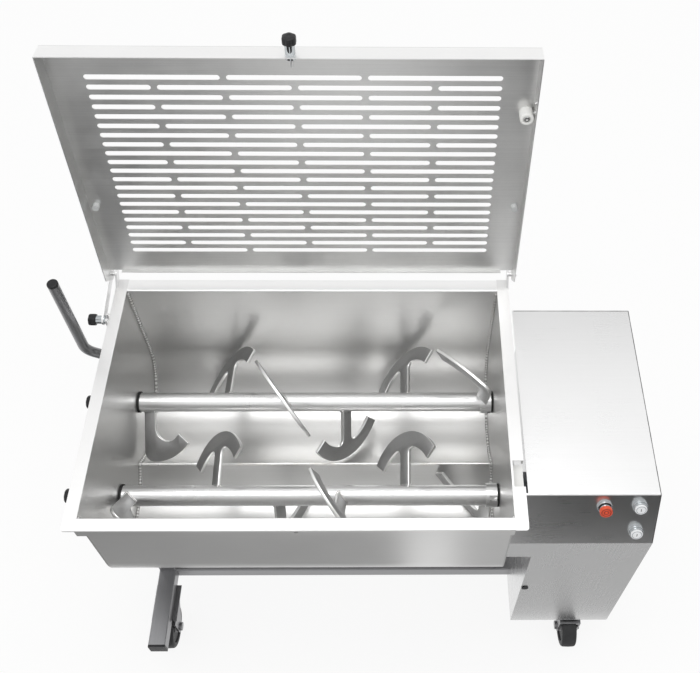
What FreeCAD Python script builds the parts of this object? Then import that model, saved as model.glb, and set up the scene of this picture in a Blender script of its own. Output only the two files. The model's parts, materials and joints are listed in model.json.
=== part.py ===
import FreeCAD, Part
import math
import os

V = FreeCAD.Vector

# Tilting twin-shaft meat mixer, in millimetres.
# While it is modelled, x = 0 is the middle of the tank, y = 0 the tilt axis,
# z = 0 the floor, and the operator stands at -y. The last lines move the
# origin to the floor below the middle of the overall box.

# Tank
tank_length = 800.0          # inside, between the end walls
trough_radius = 140.0        # inside radius of each half-round trough
shaft_spacing = 220.0        # between the two paddle shafts
axis_depth = 240.0           # from the rim down to the shafts
rim_height = 820.0           # from the floor up to the rim
tank_wall = 3.0
side_flange = 25.0
front_flange = 25.0
rear_flange = 30.0
front_lip = 24.0
side_lip = 15.0

# Lid, a shallow slotted pan
lid_gap = 10.0               # from the rim to the panel's inner face when closed
lid_sheet = 1.5
lid_flange_depth = 34.0
lid_side_overlap = 32.0      # panel beyond the tank's inside, at each end
lid_rear_margin = 12.0       # panel's rear edge behind the tank's inner rear wall
lid_front_margin = 53.0      # panel's front edge before the tank's inner front wall
lid_rear_return = 8.0
latch_drop = 18.0            # latch axis below the panel's inner face
lid_open_angle = 96.85
slot_pitch = 22.0
slot_width = 11.0
slot_side_margin = 61.0      # from the slots to the panel's sides
slot_full = 240.0
slot_end_margin = 62.0       # from the first and last rows to the panel's edges

# Hinge, stay and latch
hinge_setback = 33.0         # pin behind the inner rear wall
hinge_rise = 18.0            # pin above the rim
hinge_pin_radius = 5.0
ear_radius = 13.0
bracket_thickness = 4.0
bracket_boss = 9.0
arm_reach = 105.0            # from the pin forward to the stay plunger
arm_drop = 20.0
arm_half_width = 11.0
latch_sleeve = 20.0
stay_sleeve = 14.0
knob_length = 16.0
knob_hollow = 8.0
sleeve_radius = 9.0
plunger_radius = 4.0
knob_radius = 13.0

# Shafts and paddles
shaft_radius = 21.2
shaft_tube_wall = 2.6
stub_radius = 15.0
support_pin_radius = 10.0
paddle_pitch = 134.5
end_paddle_inset = 25.0      # end paddle's middle in from the end wall
paddle_sheet = 7.0
blade_arc = (10.0, 125.7, 97.0, 55.0)         # its centre, outer and inner radius, half angle
long_blade_arc = (-105.0, 240.0, 211.0, 36.0)  # flatter and longer, for the right ends
paddle_stem = 25.0
paddle_slant = 53.0          # blade chord turned from the shaft's direction
paddle_step = 120.0
rear_paddle_phase = -8.0     # second paddle from the left, turned from +y towards +z
front_paddle_phase = 10.0
rear_end_paddles = ((-138.0, -22.0), (104.0, 43.0))    # phase and slant, left and right
front_end_paddles = ((128.0, 42.0), (-93.0, -43.0))
rear_collar_slot = 10.0      # direction of the slot in each right collar
front_collar_slot = 129.0

# Gear train from the front shaft to the rear one
end_gear_teeth = 19
idler_teeth = 18
gear_width = 16.0
gear_backlash = 0.25
gearcase_depth = 28.0
gearcase_room = 7.0          # from a gear's tip circle to the gearcase's outside
journal_right = 30.0
journal_left = 25.0

# Stand
tube_size = 40.0
tube_wall = 3.0
foot_inset = 22.0            # foot's middle in from the tank's end wall
foot_front = -191.0
foot_rear = 330.0
caster_height = 125.0
wheel_radius = 50.0
wheel_width = 36.0
caster_trail = 34.0
caster_front_y = -85.0
caster_rear_y = 275.0
bearing_space = 52.0         # from the left end wall to the bearing plate

# Cabinet
cabinet_space = 56.0         # from the right end wall to the cabinet
cabinet_width = 234.0
overhang_space = 5.0         # from the right end wall to the control band
cabinet_front = -128.0
cabinet_rear = 343.0
cabinet_drop = 50.0          # cabinet top below the rim
top_front = -78.0
band_drop = 121.6            # height of the sloping control band
overhang_height = 76.4       # vertical strip under the band, left of the lower part
cabinet_sheet = 2.0
cabinet_caster_inset = 86.0  # casters in from the cabinet's right side

# Fits
running = 0.05               # radial clearance of a shaft in a bore
gap = 0.3                    # between faces that pass each other

# Worked out from the values above
half = tank_length / 2
end_paddle_x = half - end_paddle_inset
shaft_bore = shaft_radius - shaft_tube_wall
axis_z = rim_height - axis_depth
rear_inside = shaft_spacing + trough_radius
front_inside = -trough_radius
outer_wall_x = half + tank_wall
flange_x = half + side_flange
lip_y = front_inside - front_flange
foot_x = foot_inset - half
bearing_plate_x = -outer_wall_x - bearing_space
cabinet_left = outer_wall_x + cabinet_space
cabinet_right = cabinet_left + cabinet_width
overhang_left = outer_wall_x + overhang_space
cabinet_caster_x = cabinet_right - cabinet_caster_inset
cabinet_top = rim_height - cabinet_drop
band_bottom = cabinet_top - band_drop
overhang_bottom = band_bottom - overhang_height
tube_top = caster_height + tube_size
hinge_y = rear_inside + hinge_setback
hinge_z = rim_height + hinge_rise
lid_rear_y = rear_inside + lid_rear_margin
lid_front_y = front_inside - lid_front_margin
lid_half_width = half + lid_side_overlap
slot_field = 2 * (lid_half_width - slot_side_margin)
slot_rows = int((lid_rear_y - lid_front_y - 2 * slot_end_margin) / slot_pitch) + 1
lid_face_z = rim_height + lid_gap
latch_z = lid_face_z - latch_drop
gear_module = shaft_spacing / (end_gear_teeth + 2 * idler_teeth)
gearcase_half_width = gear_module * (end_gear_teeth / 2 + 1) + gearcase_room
X, Y, Z = V(1, 0, 0), V(0, 1, 0), V(0, 0, 1)


def box(x0, x1, y0, y1, z0, z1):
    return Part.makeBox(x1 - x0, y1 - y0, z1 - z0, V(x0, y0, z0))


def rod(x0, x1, y, z, radius):
    """Round bar along x."""
    return Part.makeCylinder(radius, x1 - x0, V(x0, y, z), X)


def ring(x0, x1, y, z, outer, inner):
    return rod(x0, x1, y, z, outer).cut(rod(x0 - 1, x1 + 1, y, z, inner))


def fuse(*shapes):
    solid = shapes[0]
    for shape in shapes[1:]:
        solid = solid.fuse(shape)
    return solid.removeSplitter()


def plate(x0, x1, outline):
    """Flat plate across x from (y, z) corner points."""
    points = [V(x0, y, z) for y, z in outline]
    face = Part.Face(Part.makePolygon(points + points[:1]))
    return face.extrude(V(x1 - x0, 0, 0))


def stadium(x0, x1, a, b, radius):
    """Plate with round ends about the (y, z) points a and b."""
    along = V(0, b[0] - a[0], b[1] - a[1])
    side = along.cross(X).normalize() * radius
    start, end = V(x0, *a), V(x0, *b)
    middle = Part.Face(Part.makePolygon(
        [start + side, end + side, end - side, start - side, start + side]))
    return fuse(middle.extrude(V(x1 - x0, 0, 0)), rod(x0, x1, *a, radius),
                rod(x0, x1, *b, radius))


def square_tube(x0, x1, y0, y1, z0, z1, axis):
    """Square tube with open ends; axis is 0, 1 or 2."""
    low, high = [x0, y0, z0], [x1, y1, z1]
    inner_low = [v + tube_wall for v in low]
    inner_high = [v - tube_wall for v in high]
    inner_low[axis] = low[axis] - 1
    inner_high[axis] = high[axis] + 1
    inner = box(inner_low[0], inner_high[0], inner_low[1], inner_high[1],
                inner_low[2], inner_high[2])
    outer = box(x0, x1, y0, y1, z0, z1)
    long_edges = [e for e in outer.Edges
                  if abs(getattr(e.tangentAt(e.FirstParameter), "xyz"[axis])) > 0.9]
    return outer.makeFillet(tube_wall - 0.5, long_edges).cut(inner)


def turned(shape, angle, y=hinge_y, z=hinge_z):
    """Copy turned about an axis along x."""
    copy = shape.copy()
    copy.rotate(V(0, y, z), X, angle)
    return copy


# Stand

def floor_tubes():
    foot = square_tube(foot_x - tube_size / 2, foot_x + tube_size / 2, foot_front, foot_rear,
                       caster_height, tube_top, 1)
    under_cabinet = square_tube(cabinet_caster_x - tube_size / 2, cabinet_caster_x + tube_size / 2,
                                cabinet_front + cabinet_sheet, cabinet_rear - cabinet_sheet,
                                caster_height, tube_top, 1)
    return [foot, under_cabinet]


def foot_end_caps():
    reach, thick, slack = 12.0, 5.0, 0.2
    inner = tube_size / 2 - tube_wall - slack
    middle_z = caster_height + tube_size / 2
    caps = []
    for y, way in ((foot_front, -1), (foot_rear, 1)):
        y0, y1 = sorted((y, y + way * thick))
        p0, p1 = sorted((y, y - way * reach))
        head = box(foot_x - tube_size / 2, foot_x + tube_size / 2, y0, y1, caster_height, tube_top)
        head = head.makeFillet(2.0, [e for e in head.Edges
                                     if abs(e.tangentAt(e.FirstParameter).y) > 0.9])
        plug = box(foot_x - inner, foot_x + inner, p0, p1, middle_z - inner, middle_z + inner)
        caps.append(fuse(head, plug))
    return caps


post_top = axis_z - trough_radius - tank_wall - 32.0


def left_post():
    return square_tube(foot_x - tube_size / 2, foot_x + tube_size / 2, -tube_size / 2,
                       tube_size / 2, tube_top, post_top, 2)


def left_bearing_plate():
    """Outrigger tube from the post, the upright plate and its buffer arm."""
    thick, half_width, head = 10.0, 42.0, 46.0
    arm_low, arm_high, arm_end = axis_z - 62.0, buffer_bottom, 125.0
    x0, x1 = bearing_plate_x, bearing_plate_x + thick
    outrigger = square_tube(x1, foot_x - tube_size / 2, -tube_size / 2, tube_size / 2,
                            post_top - tube_size, post_top, 0)
    upright = box(x0, x1, -half_width, half_width, post_top - tube_size - 20, axis_z)
    arm = box(x0, x1, 0, arm_end, arm_low, arm_high)
    bore = rod(x0 - 1, x1 + 1, 0, axis_z, journal_left + 2)
    return [outrigger, fuse(upright, arm, rod(x0, x1, 0, axis_z, head)).cut(bore)]


buffer_height = 16.0
lug_bottom = axis_z - 20.0
buffer_bottom = lug_bottom - gap - buffer_height
lug_y0, lug_y1 = 88.0, 112.0


def tilt_buffer():
    """Rubber block that the tank's lug rests on."""
    pad = box(bearing_plate_x - 5, bearing_plate_x + 15, lug_y0, lug_y1, buffer_bottom,
              buffer_bottom + buffer_height)
    return pad.makeFillet(3.0, [e for e in pad.Edges if abs(e.tangentAt(e.FirstParameter).z) > 0.9])


def cross_tube():
    return square_tube(foot_x + tube_size / 2, cabinet_caster_x - tube_size / 2, -tube_size / 2,
                       tube_size / 2, caster_height, tube_top, 0)


def pivot_bearings():
    """Flanged bearing units that carry the tank at each side."""
    thick = 20.0
    left = fuse(rod(bearing_plate_x - thick, bearing_plate_x, 0, axis_z, 34.0),
                rod(bearing_plate_x - 8, bearing_plate_x, 0, axis_z, 42.0))
    right = fuse(rod(cabinet_left - thick, cabinet_left, 0, axis_z, 40.0),
                 rod(cabinet_left - 8, cabinet_left, 0, axis_z, 48.0))
    return [left.cut(rod(bearing_plate_x - 30, bearing_plate_x + 5, 0, axis_z,
                         journal_left + running)),
            right.cut(rod(cabinet_left - 30, cabinet_left + 5, 0, axis_z,
                          journal_right + running))]


# Casters

caster_places = [(foot_x, caster_front_y), (foot_x, caster_rear_y),
                 (cabinet_caster_x, caster_front_y), (cabinet_caster_x, caster_rear_y)]
raceway_z = caster_height - 14.0
crown_low = 2 * wheel_radius + 1.0
kingpin_radius = 5.0
axle_radius = 6.0


def caster_plates():
    plates = []
    for x, y in caster_places:
        top = box(x - 30, x + 30, y - 42, y + 42, caster_height - 4, caster_height)
        race = Part.makeCylinder(22, caster_height - 4 - raceway_z, V(x, y, raceway_z))
        pin = Part.makeCylinder(kingpin_radius, raceway_z - crown_low, V(x, y, crown_low))
        plates.append(fuse(top, race, pin))
    return plates


def caster_fork(x, y):
    wheel_y = y - caster_trail
    inner, outer = wheel_width / 2 + 3.5, wheel_width / 2 + 7.0
    top = raceway_z - gap
    crown = box(x - outer, x + outer, wheel_y - 14, y + 22, crown_low, top)
    kingpin_hole = Part.makeCylinder(kingpin_radius + running, 30, V(x, y, crown_low - 5))
    legs = []
    for x0 in (x - outer, x + inner):
        leg = plate(x0, x0 + outer - inner,
                    [(y + 22, top), (wheel_y - 14, top), (wheel_y - 14, wheel_radius),
                     (wheel_y + 14, wheel_radius)])
        legs.append(leg.fuse(rod(x0, x0 + outer - inner, wheel_y, wheel_radius, 14)))
    fork = fuse(crown, *legs).cut(kingpin_hole)
    fork = fork.cut(rod(x - 40, x + 40, wheel_y, wheel_radius, axle_radius))
    axle = fuse(rod(x - outer - 4, x + outer + 4, wheel_y, wheel_radius, axle_radius),
                rod(x - outer - 5, x - outer, wheel_y, wheel_radius, 10),
                rod(x + outer, x + outer + 5, wheel_y, wheel_radius, 10))
    return [fork, axle]


def caster_wheel(x, y):
    wheel_y = y - caster_trail
    tyre = rod(x - wheel_width / 2, x + wheel_width / 2, wheel_y, wheel_radius, wheel_radius)
    tyre = tyre.makeFillet(5.0, [e for e in tyre.Edges if e.Length > wheel_radius * 4
                                 and e.Closed])
    hub = rod(x - wheel_width / 2 - 3, x + wheel_width / 2 + 3, wheel_y, wheel_radius, 13)
    return fuse(tyre, hub).cut(rod(x - 40, x + 40, wheel_y, wheel_radius, axle_radius + running))


# Cabinet

band_length = math.hypot(band_drop, cabinet_front - top_front)
band_along = V(0, cabinet_front - top_front, -band_drop).normalize()
band_out = V(0, -band_drop, -(cabinet_front - top_front)).normalize()


def band_inside(z_drop):
    """(y, z) on the inside of the control band, from the top edge down."""
    start = V(0, top_front, cabinet_top) - band_out * cabinet_sheet
    point = start + band_along * z_drop
    return point.y, point.z


def side_outline():
    """Outline of a cabinet side wall, inside the hood and covers."""
    top = cabinet_top - cabinet_sheet
    front = cabinet_front + cabinet_sheet
    slope = (cabinet_front - top_front) / -band_drop
    start_y, start_z = band_inside(0)
    upper_y = start_y - (start_z - top) * slope
    lower_z = start_z - (start_y - front) / slope
    rear = cabinet_rear - cabinet_sheet
    return [(front, caster_height), (rear, caster_height), (rear, top), (upper_y, top),
            (front, lower_z)]


def cabinet_body():
    """Left wall, floor and right wall, bent from one sheet."""
    walls = [plate(x, x + cabinet_sheet, side_outline())
             for x in (cabinet_left, cabinet_right - cabinet_sheet)]
    floor = box(cabinet_left, cabinet_right, cabinet_front + cabinet_sheet,
                cabinet_rear - cabinet_sheet, tube_top, tube_top + cabinet_sheet)
    tube_hole = box(cabinet_left - 1, cabinet_left + 10, -tube_size / 2, tube_size / 2,
                    caster_height - 1, tube_top)
    shaft_hole = rod(cabinet_left - 1, cabinet_left + 10, 0, axis_z, journal_right + 2)
    return fuse(walls[0], floor, walls[1]).cut(tube_hole).cut(shaft_hole)


def cabinet_hood():
    """Top sheet that folds down into the sloping control band."""
    slot_edge = outer_wall_x + gearcase_depth + 5.0
    top = box(slot_edge, cabinet_right, top_front, cabinet_rear, cabinet_top - cabinet_sheet,
              cabinet_top)
    outside = [(top_front, cabinet_top), (cabinet_front, band_bottom)]
    inside = [(y + cabinet_sheet * -band_out.y, z - cabinet_sheet * band_out.z)
              for y, z in outside]
    band = plate(overhang_left, cabinet_right,
                 [outside[0], outside[1], (cabinet_front + cabinet_sheet, band_bottom),
                  inside[0], (top_front + cabinet_sheet, cabinet_top)])
    hood = fuse(top, band)
    for x, down in button_places.values():
        hole = Part.makeCylinder(barrel_radius + 0.2, 20,
                                 band_point(x, down) - band_out * 10, band_out)
        hood = hood.cut(hole)
    return hood


def front_cover():
    main = box(cabinet_left, cabinet_right, cabinet_front, cabinet_front + cabinet_sheet,
               caster_height, band_bottom)
    strip = box(overhang_left, cabinet_left, cabinet_front, cabinet_front + cabinet_sheet,
                overhang_bottom, band_bottom)
    lock_hole = Part.makeCylinder(lock_radius + running, 10,
                                  V(lock_x, cabinet_front - 2, lock_z), Y)
    return fuse(main, strip).cut(lock_hole)


def rear_cover():
    louvre_rows, louvre_pitch, louvre_width, louvre_height = 8, 16.0, 130.0, 6.0
    cover = box(cabinet_left, cabinet_right, cabinet_rear - cabinet_sheet, cabinet_rear,
                caster_height, cabinet_top - cabinet_sheet)
    middle = (cabinet_left + cabinet_right) / 2
    for row in range(louvre_rows):
        z = tube_top + 90 + row * louvre_pitch
        cover = cover.cut(box(middle - louvre_width / 2, middle + louvre_width / 2,
                              cabinet_rear - 5, cabinet_rear + 5, z, z + louvre_height))
    return cover.cut(Part.makeCylinder(gland_radius, 10, V(gland_x, cabinet_rear - 5, gland_z), Y))


gland_x, gland_z = cabinet_right - 53.0, tube_top + 50.0
gland_radius, cable_radius = 10.0, 5.0


def cable_gland():
    """Cable gland through the rear cover, open for the supply cable."""
    body = Part.makeCylinder(gland_radius, 30, V(gland_x, cabinet_rear - 12, gland_z), Y)
    hexagon = [V(gland_x + 14 * math.cos(math.radians(60 * k)), cabinet_rear,
                 gland_z + 14 * math.sin(math.radians(60 * k))) for k in range(7)]
    nut = Part.Face(Part.makePolygon(hexagon)).extrude(V(0, 9, 0))
    dome = Part.makeCylinder(11.5, 13, V(gland_x, cabinet_rear + 9, gland_z), Y)
    dome = dome.makeFillet(4.0, [e for e in dome.Edges if e.Closed
                                 and e.CenterOfMass.y > cabinet_rear + 20])
    nut_inside = Part.makeCylinder(14, 5, V(gland_x, cabinet_rear - cabinet_sheet - 5, gland_z), Y)
    cable_way = Part.makeCylinder(cable_radius, 50, V(gland_x, cabinet_rear - 20, gland_z), Y)
    return fuse(body, nut, dome, nut_inside).cut(cable_way)


lock_x, lock_z, lock_radius = cabinet_left + 8.5, band_bottom - 274.4, 5.0


def panel_lock():
    """Quarter-turn lock of the front cover, with its cam behind."""
    head = Part.makeCylinder(7.5, 2.0, V(lock_x, cabinet_front - 2.3, lock_z), Y)
    slot = box(lock_x - 5.5, lock_x + 5.5, cabinet_front - 3, cabinet_front - 1.2, lock_z - 1,
               lock_z + 1)
    stem = Part.makeCylinder(lock_radius, 14, V(lock_x, cabinet_front - 1, lock_z), Y)
    cam_y = cabinet_front + cabinet_sheet + 6
    cam_half, cam_reach = 4.4, 24.0
    cam = box(lock_x - cam_half, lock_x + cam_half, cam_y, cam_y + 3, lock_z - cam_half,
              lock_z + cam_reach)
    return fuse(head, stem, cam).cut(slot)


# Drive in the cabinet

wheel_pitch, worm_pitch, drive_gap = 60.0, 18.0, 0.5
motor_x = cabinet_left + 86.0
motor_y = wheel_pitch + worm_pitch + drive_gap
gearbox_wall = 6.0
gearbox_x0, gearbox_x1 = cabinet_left + cabinet_sheet, cabinet_left + 151.0
gearbox_y0, gearbox_y1 = -75.0, 110.0
gearbox_low, gearbox_high = axis_z - 75.0, axis_z + 75.0
motor_shaft_radius = 12.0
motor_radius, motor_length = 66.0, 225.0
rotor_radius, rotor_length = 30.0, 110.0


def gearbox_housing():
    shell = box(gearbox_x0, gearbox_x1, gearbox_y0, gearbox_y1, gearbox_low, gearbox_high)
    shell = shell.makeFillet(8.0, [e for e in shell.Edges
                                   if abs(e.tangentAt(e.FirstParameter).x) > 0.9])
    w = gearbox_wall
    cavity = box(gearbox_x0 + w, gearbox_x1 - w, gearbox_y0 + w, gearbox_y1 - w,
                 gearbox_low + w, gearbox_high - w)
    left_hole = rod(gearbox_x0 - 1, gearbox_x0 + w + 1, 0, axis_z, journal_right + 2)
    right_hole = rod(gearbox_x1 - w - 1, gearbox_x1 + 1, 0, axis_z, stub_radius + running)
    motor_hole = Part.makeCylinder(motor_shaft_radius + running, w + 2,
                                   V(motor_x, motor_y, gearbox_low - 1))
    return shell.cut(cavity).cut(left_hole).cut(right_hole).cut(motor_hole)


def motor_housing():
    """Motor hung under the gearbox, with its fan cowl at the bottom."""
    low = gearbox_low - motor_length
    flange = Part.makeCylinder(64, 10, V(motor_x, motor_y, gearbox_low - 10))
    case = Part.makeCylinder(motor_radius, motor_length - 10, V(motor_x, motor_y, low))
    case = case.makeFillet(8.0, [e for e in case.Edges if e.Closed and e.CenterOfMass.z < low + 1])
    cavity = Part.makeCylinder(rotor_radius + 2, motor_length - 40,
                               V(motor_x, motor_y, low + 15))
    hole = Part.makeCylinder(motor_shaft_radius + running, motor_length,
                             V(motor_x, motor_y, low + 30))
    terminal_box = box(motor_x - 35, motor_x + 35, motor_y + motor_radius - 10,
                       motor_y + motor_radius + 35, low + 90, low + 170)
    return fuse(flange, case, terminal_box).cut(cavity).cut(hole)


def motor_shaft():
    """Rotor, shaft and the worm's pitch cylinder."""
    low = gearbox_low - motor_length + 25
    rotor = Part.makeCylinder(rotor_radius, rotor_length, V(motor_x, motor_y, low + 30))
    shaft = Part.makeCylinder(motor_shaft_radius, gearbox_high - 20 - low - 10,
                              V(motor_x, motor_y, low + 10))
    worm = Part.makeCylinder(worm_pitch, 90, V(motor_x, motor_y, axis_z - 45))
    return fuse(rotor, shaft, worm)


def worm_wheel():
    return ring(motor_x - 16, motor_x + 16, 0, axis_z, wheel_pitch, stub_radius)


def electrical_box():
    enclosure = box(cabinet_right - cabinet_sheet - 58, cabinet_right - cabinet_sheet, 150, 310,
                    cabinet_top - 300, cabinet_top - 80)
    return enclosure.makeFillet(5.0, [e for e in enclosure.Edges
                                      if abs(e.tangentAt(e.FirstParameter).x) > 0.9])


# Push buttons on the control band: x, and distance down the band

barrel_radius = 11.0
bezel_radius, bezel_height = 15.0, 5.0
button_places = {"stop_button": (cabinet_right - 107.0, 30.0),
                 "start_button": (cabinet_right - 39.0, 28.0),
                 "reverse_button": (cabinet_right - 39.0, 95.0)}
button_sizes = {"stop_button": (12.5, 20.0), "start_button": (12.9, 18.0),
                "reverse_button": (12.9, 18.0)}
button_stem = 6.0
button_rest = 4.6


def band_point(x, down):
    return V(x, top_front, cabinet_top) + band_along * down


def button_barrels():
    barrels = []
    for x, down in button_places.values():
        at = band_point(x, down)
        bezel = Part.makeCylinder(bezel_radius, bezel_height, at, band_out)
        bezel = bezel.makeFillet(1.2, [e for e in bezel.Edges if e.Closed
                                       and (e.CenterOfMass - at).dot(band_out) > 1])
        cup = Part.makeCylinder(13.3, bezel_height, at + band_out * 0.4, band_out)
        barrel = Part.makeCylinder(barrel_radius, 24, at - band_out * 23.5, band_out)
        block = Part.makeBox(28, 36, 30, V(-14, -18, -30))
        block.Placement = FreeCAD.Placement(at - band_out * 18,
                                            FreeCAD.Rotation(X, V(0, 0, 1).cross(X), band_out))
        bore = Part.makeCylinder(button_stem + running, 60, at - band_out * 30, band_out)
        barrels.append(fuse(bezel.cut(cup), barrel, block).cut(bore))
    return barrels


def button(name):
    x, down = button_places[name]
    radius, height = button_sizes[name]
    at = band_point(x, down)
    head = Part.makeCylinder(radius, height - button_rest, at + band_out * button_rest, band_out)
    head = head.makeFillet(2.5, [e for e in head.Edges if e.Closed
                                 and (e.CenterOfMass - at).dot(band_out) > height - 1])
    stem = Part.makeCylinder(button_stem, 24, at - band_out * 19, band_out)
    return fuse(head, stem)


# Tank

def trough_section(extra, top):
    """Twin-trough outline grown by a wall thickness, as a face at x = 0."""
    radius = trough_radius + extra
    upper = plate(0, 1, [(-radius, axis_z), (shaft_spacing + radius, axis_z),
                         (shaft_spacing + radius, top), (-radius, top)])
    return fuse(upper, rod(0, 1, 0, axis_z, radius), rod(0, 1, shaft_spacing, axis_z, radius))


def section_solid(extra, top, x0, x1):
    """Twin-trough prism between two x positions."""
    slab = trough_section(extra, top)
    face = [f for f in slab.Faces if abs(f.CenterOfMass.x) < 1e-6]
    prism = fuse(*[f.extrude(V(x1 - x0, 0, 0)) for f in face])
    prism.translate(V(x0, 0, 0))
    return prism


def tank_shell():
    """Folded sheet: front lip and flange, both troughs, rear flange."""
    trough = section_solid(tank_wall, rim_height, -half, half).cut(
        section_solid(0, rim_height + 5, -half - 5, half + 5))
    flange_low = rim_height - tank_wall
    front = box(-half, half, lip_y, front_inside, flange_low, rim_height)
    lip = box(-half, half, lip_y, lip_y + tank_wall, rim_height - front_lip, rim_height)
    rear_edge = rear_inside + rear_flange
    rear = box(-half, half, rear_inside, rear_edge, flange_low, rim_height)
    rear_lip = box(-half, half, rear_edge - tank_wall, rear_edge, rim_height - side_lip,
                   rim_height)
    latch_hole = Part.makeCylinder(plunger_radius + 0.2, 10, V(0, lip_y - 3, latch_z), Y)
    shell = fuse(trough, front, lip.cut(latch_hole), rear, rear_lip)
    folds = [e for e in shell.Edges if abs(e.tangentAt(e.FirstParameter).x) > 0.99
             and e.Length > tank_length - 1
             and any(abs(e.CenterOfMass.y - y) < 0.01 and abs(e.CenterOfMass.z - rim_height) < 0.01
                     for y in (front_inside, rear_inside, lip_y, rear_edge))]
    return shell.makeFillet(tank_wall - 0.2, folds)


puck_x, puck_y = outer_wall_x + 15.3, front_inside + 84.0
puck_radius, puck_height = 13.0, 23.0
sensor_notch_half = 26.0


def tank_end(way):
    """End wall with its flange; way is -1 at the left and 1 at the right."""
    top = rim_height
    wall = section_solid(tank_wall, top, half, outer_wall_x)
    y0, y1 = lip_y, rear_inside + rear_flange
    flange = box(half, flange_x, y0, y1, top - tank_wall, top)
    lip = box(flange_x - tank_wall, flange_x, front_inside, rear_inside, top - side_lip, top)
    end = fuse(wall, flange, lip)
    corners = [e for e in end.Edges if abs(e.tangentAt(e.FirstParameter).z) > 0.99
               and e.CenterOfMass.x > flange_x - 0.01 and e.Length < tank_wall + 0.01]
    end = end.makeFillet(6.0, corners)
    if way > 0:
        notch = box(outer_wall_x + 1, flange_x + 5, puck_y - sensor_notch_half,
                    puck_y + sensor_notch_half, top - 40, top + 5)
        end = end.cut(notch)
        holes = [rod(half - 1, outer_wall_x + 1, y, axis_z, stub_radius + 1)
                 for y in (0, shaft_spacing)]
    else:
        lug = box(outer_wall_x, -bearing_plate_x + 5, lug_y0, lug_y1, lug_bottom,
                  lug_bottom + 12)
        end = fuse(end, lug)
        holes = [rod(half - 1, outer_wall_x + 1, y, axis_z, support_pin_radius + running)
                 for y in (0, shaft_spacing)]
    for hole in holes:
        end = end.cut(hole)
    return end if way > 0 else end.mirror(V(0, 0, 0), X)


def shaft_hubs():
    """Left pivot journal and the left hub of the rear shaft."""
    journal_end = bearing_plate_x - 23.0
    journal = fuse(rod(journal_end, -outer_wall_x, 0, axis_z, journal_left),
                   rod(-outer_wall_x - 8, -outer_wall_x, 0, axis_z, 38.0))
    hub = fuse(rod(-outer_wall_x - 37, -outer_wall_x, shaft_spacing, axis_z, 22.0),
               rod(-outer_wall_x - 8, -outer_wall_x, shaft_spacing, axis_z, 34.0))
    return [solid.cut(rod(journal_end - 5, -half, y, axis_z, support_pin_radius + running))
            for solid, y in ((journal, 0), (hub, shaft_spacing))]


def shaft_seals():
    seals = []
    for y in (0, shaft_spacing):
        seals.append(ring(-half, -half + 4, y, axis_z, 24, support_pin_radius + gap))
        seals.append(ring(half - 4, half, y, axis_z, 24, stub_radius + gap))
    return seals


def support_pin(y):
    """Pin through the left hub into the shaft, and its knob."""
    inner_end, outer_end = -half + 28, bearing_plate_x - 37
    pin = rod(outer_end, inner_end, y, axis_z, support_pin_radius)
    knob = rod(outer_end - 25, outer_end, y, axis_z, 15)
    knob = knob.makeFillet(4.0, [e for e in knob.Edges if e.Closed])
    return [pin, knob]


def gearcase():
    """Stadium-shaped wall on the right end, shaft bushes and idler axles."""
    x0, x1 = outer_wall_x, outer_wall_x + gearcase_depth - 3
    front, rear = (0, axis_z), (shaft_spacing, axis_z)
    case = stadium(x0, x1, front, rear, gearcase_half_width).cut(
        stadium(x0 - 1, x1 + 1, front, rear, gearcase_half_width - 3))
    solids = [case]
    for y in (0, shaft_spacing):
        solids.append(ring(x0, x0 + 4.5, y, axis_z, 24, stub_radius + running))
    for y in idler_places:
        solids.append(rod(x0, x1, y, axis_z, idler_axle))
    return solids


def gearcase_cover():
    """Cover plate with the hollow journal that the tank turns on."""
    x0 = outer_wall_x + gearcase_depth - 3
    cover = stadium(x0, x0 + 3, (0, axis_z), (shaft_spacing, axis_z), gearcase_half_width)
    journal = rod(x0, cabinet_left + 11, 0, axis_z, journal_right)
    return fuse(cover, journal).cut(rod(x0 - 1, cabinet_left + 12, 0, axis_z, stub_radius + 1))


idler_axle = 8.0
end_pitch = gear_module * end_gear_teeth / 2
idler_pitch = gear_module * idler_teeth / 2
idler_places = [end_pitch + idler_pitch, shaft_spacing - end_pitch - idler_pitch]
gear_x0 = outer_wall_x + 5.0


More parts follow.
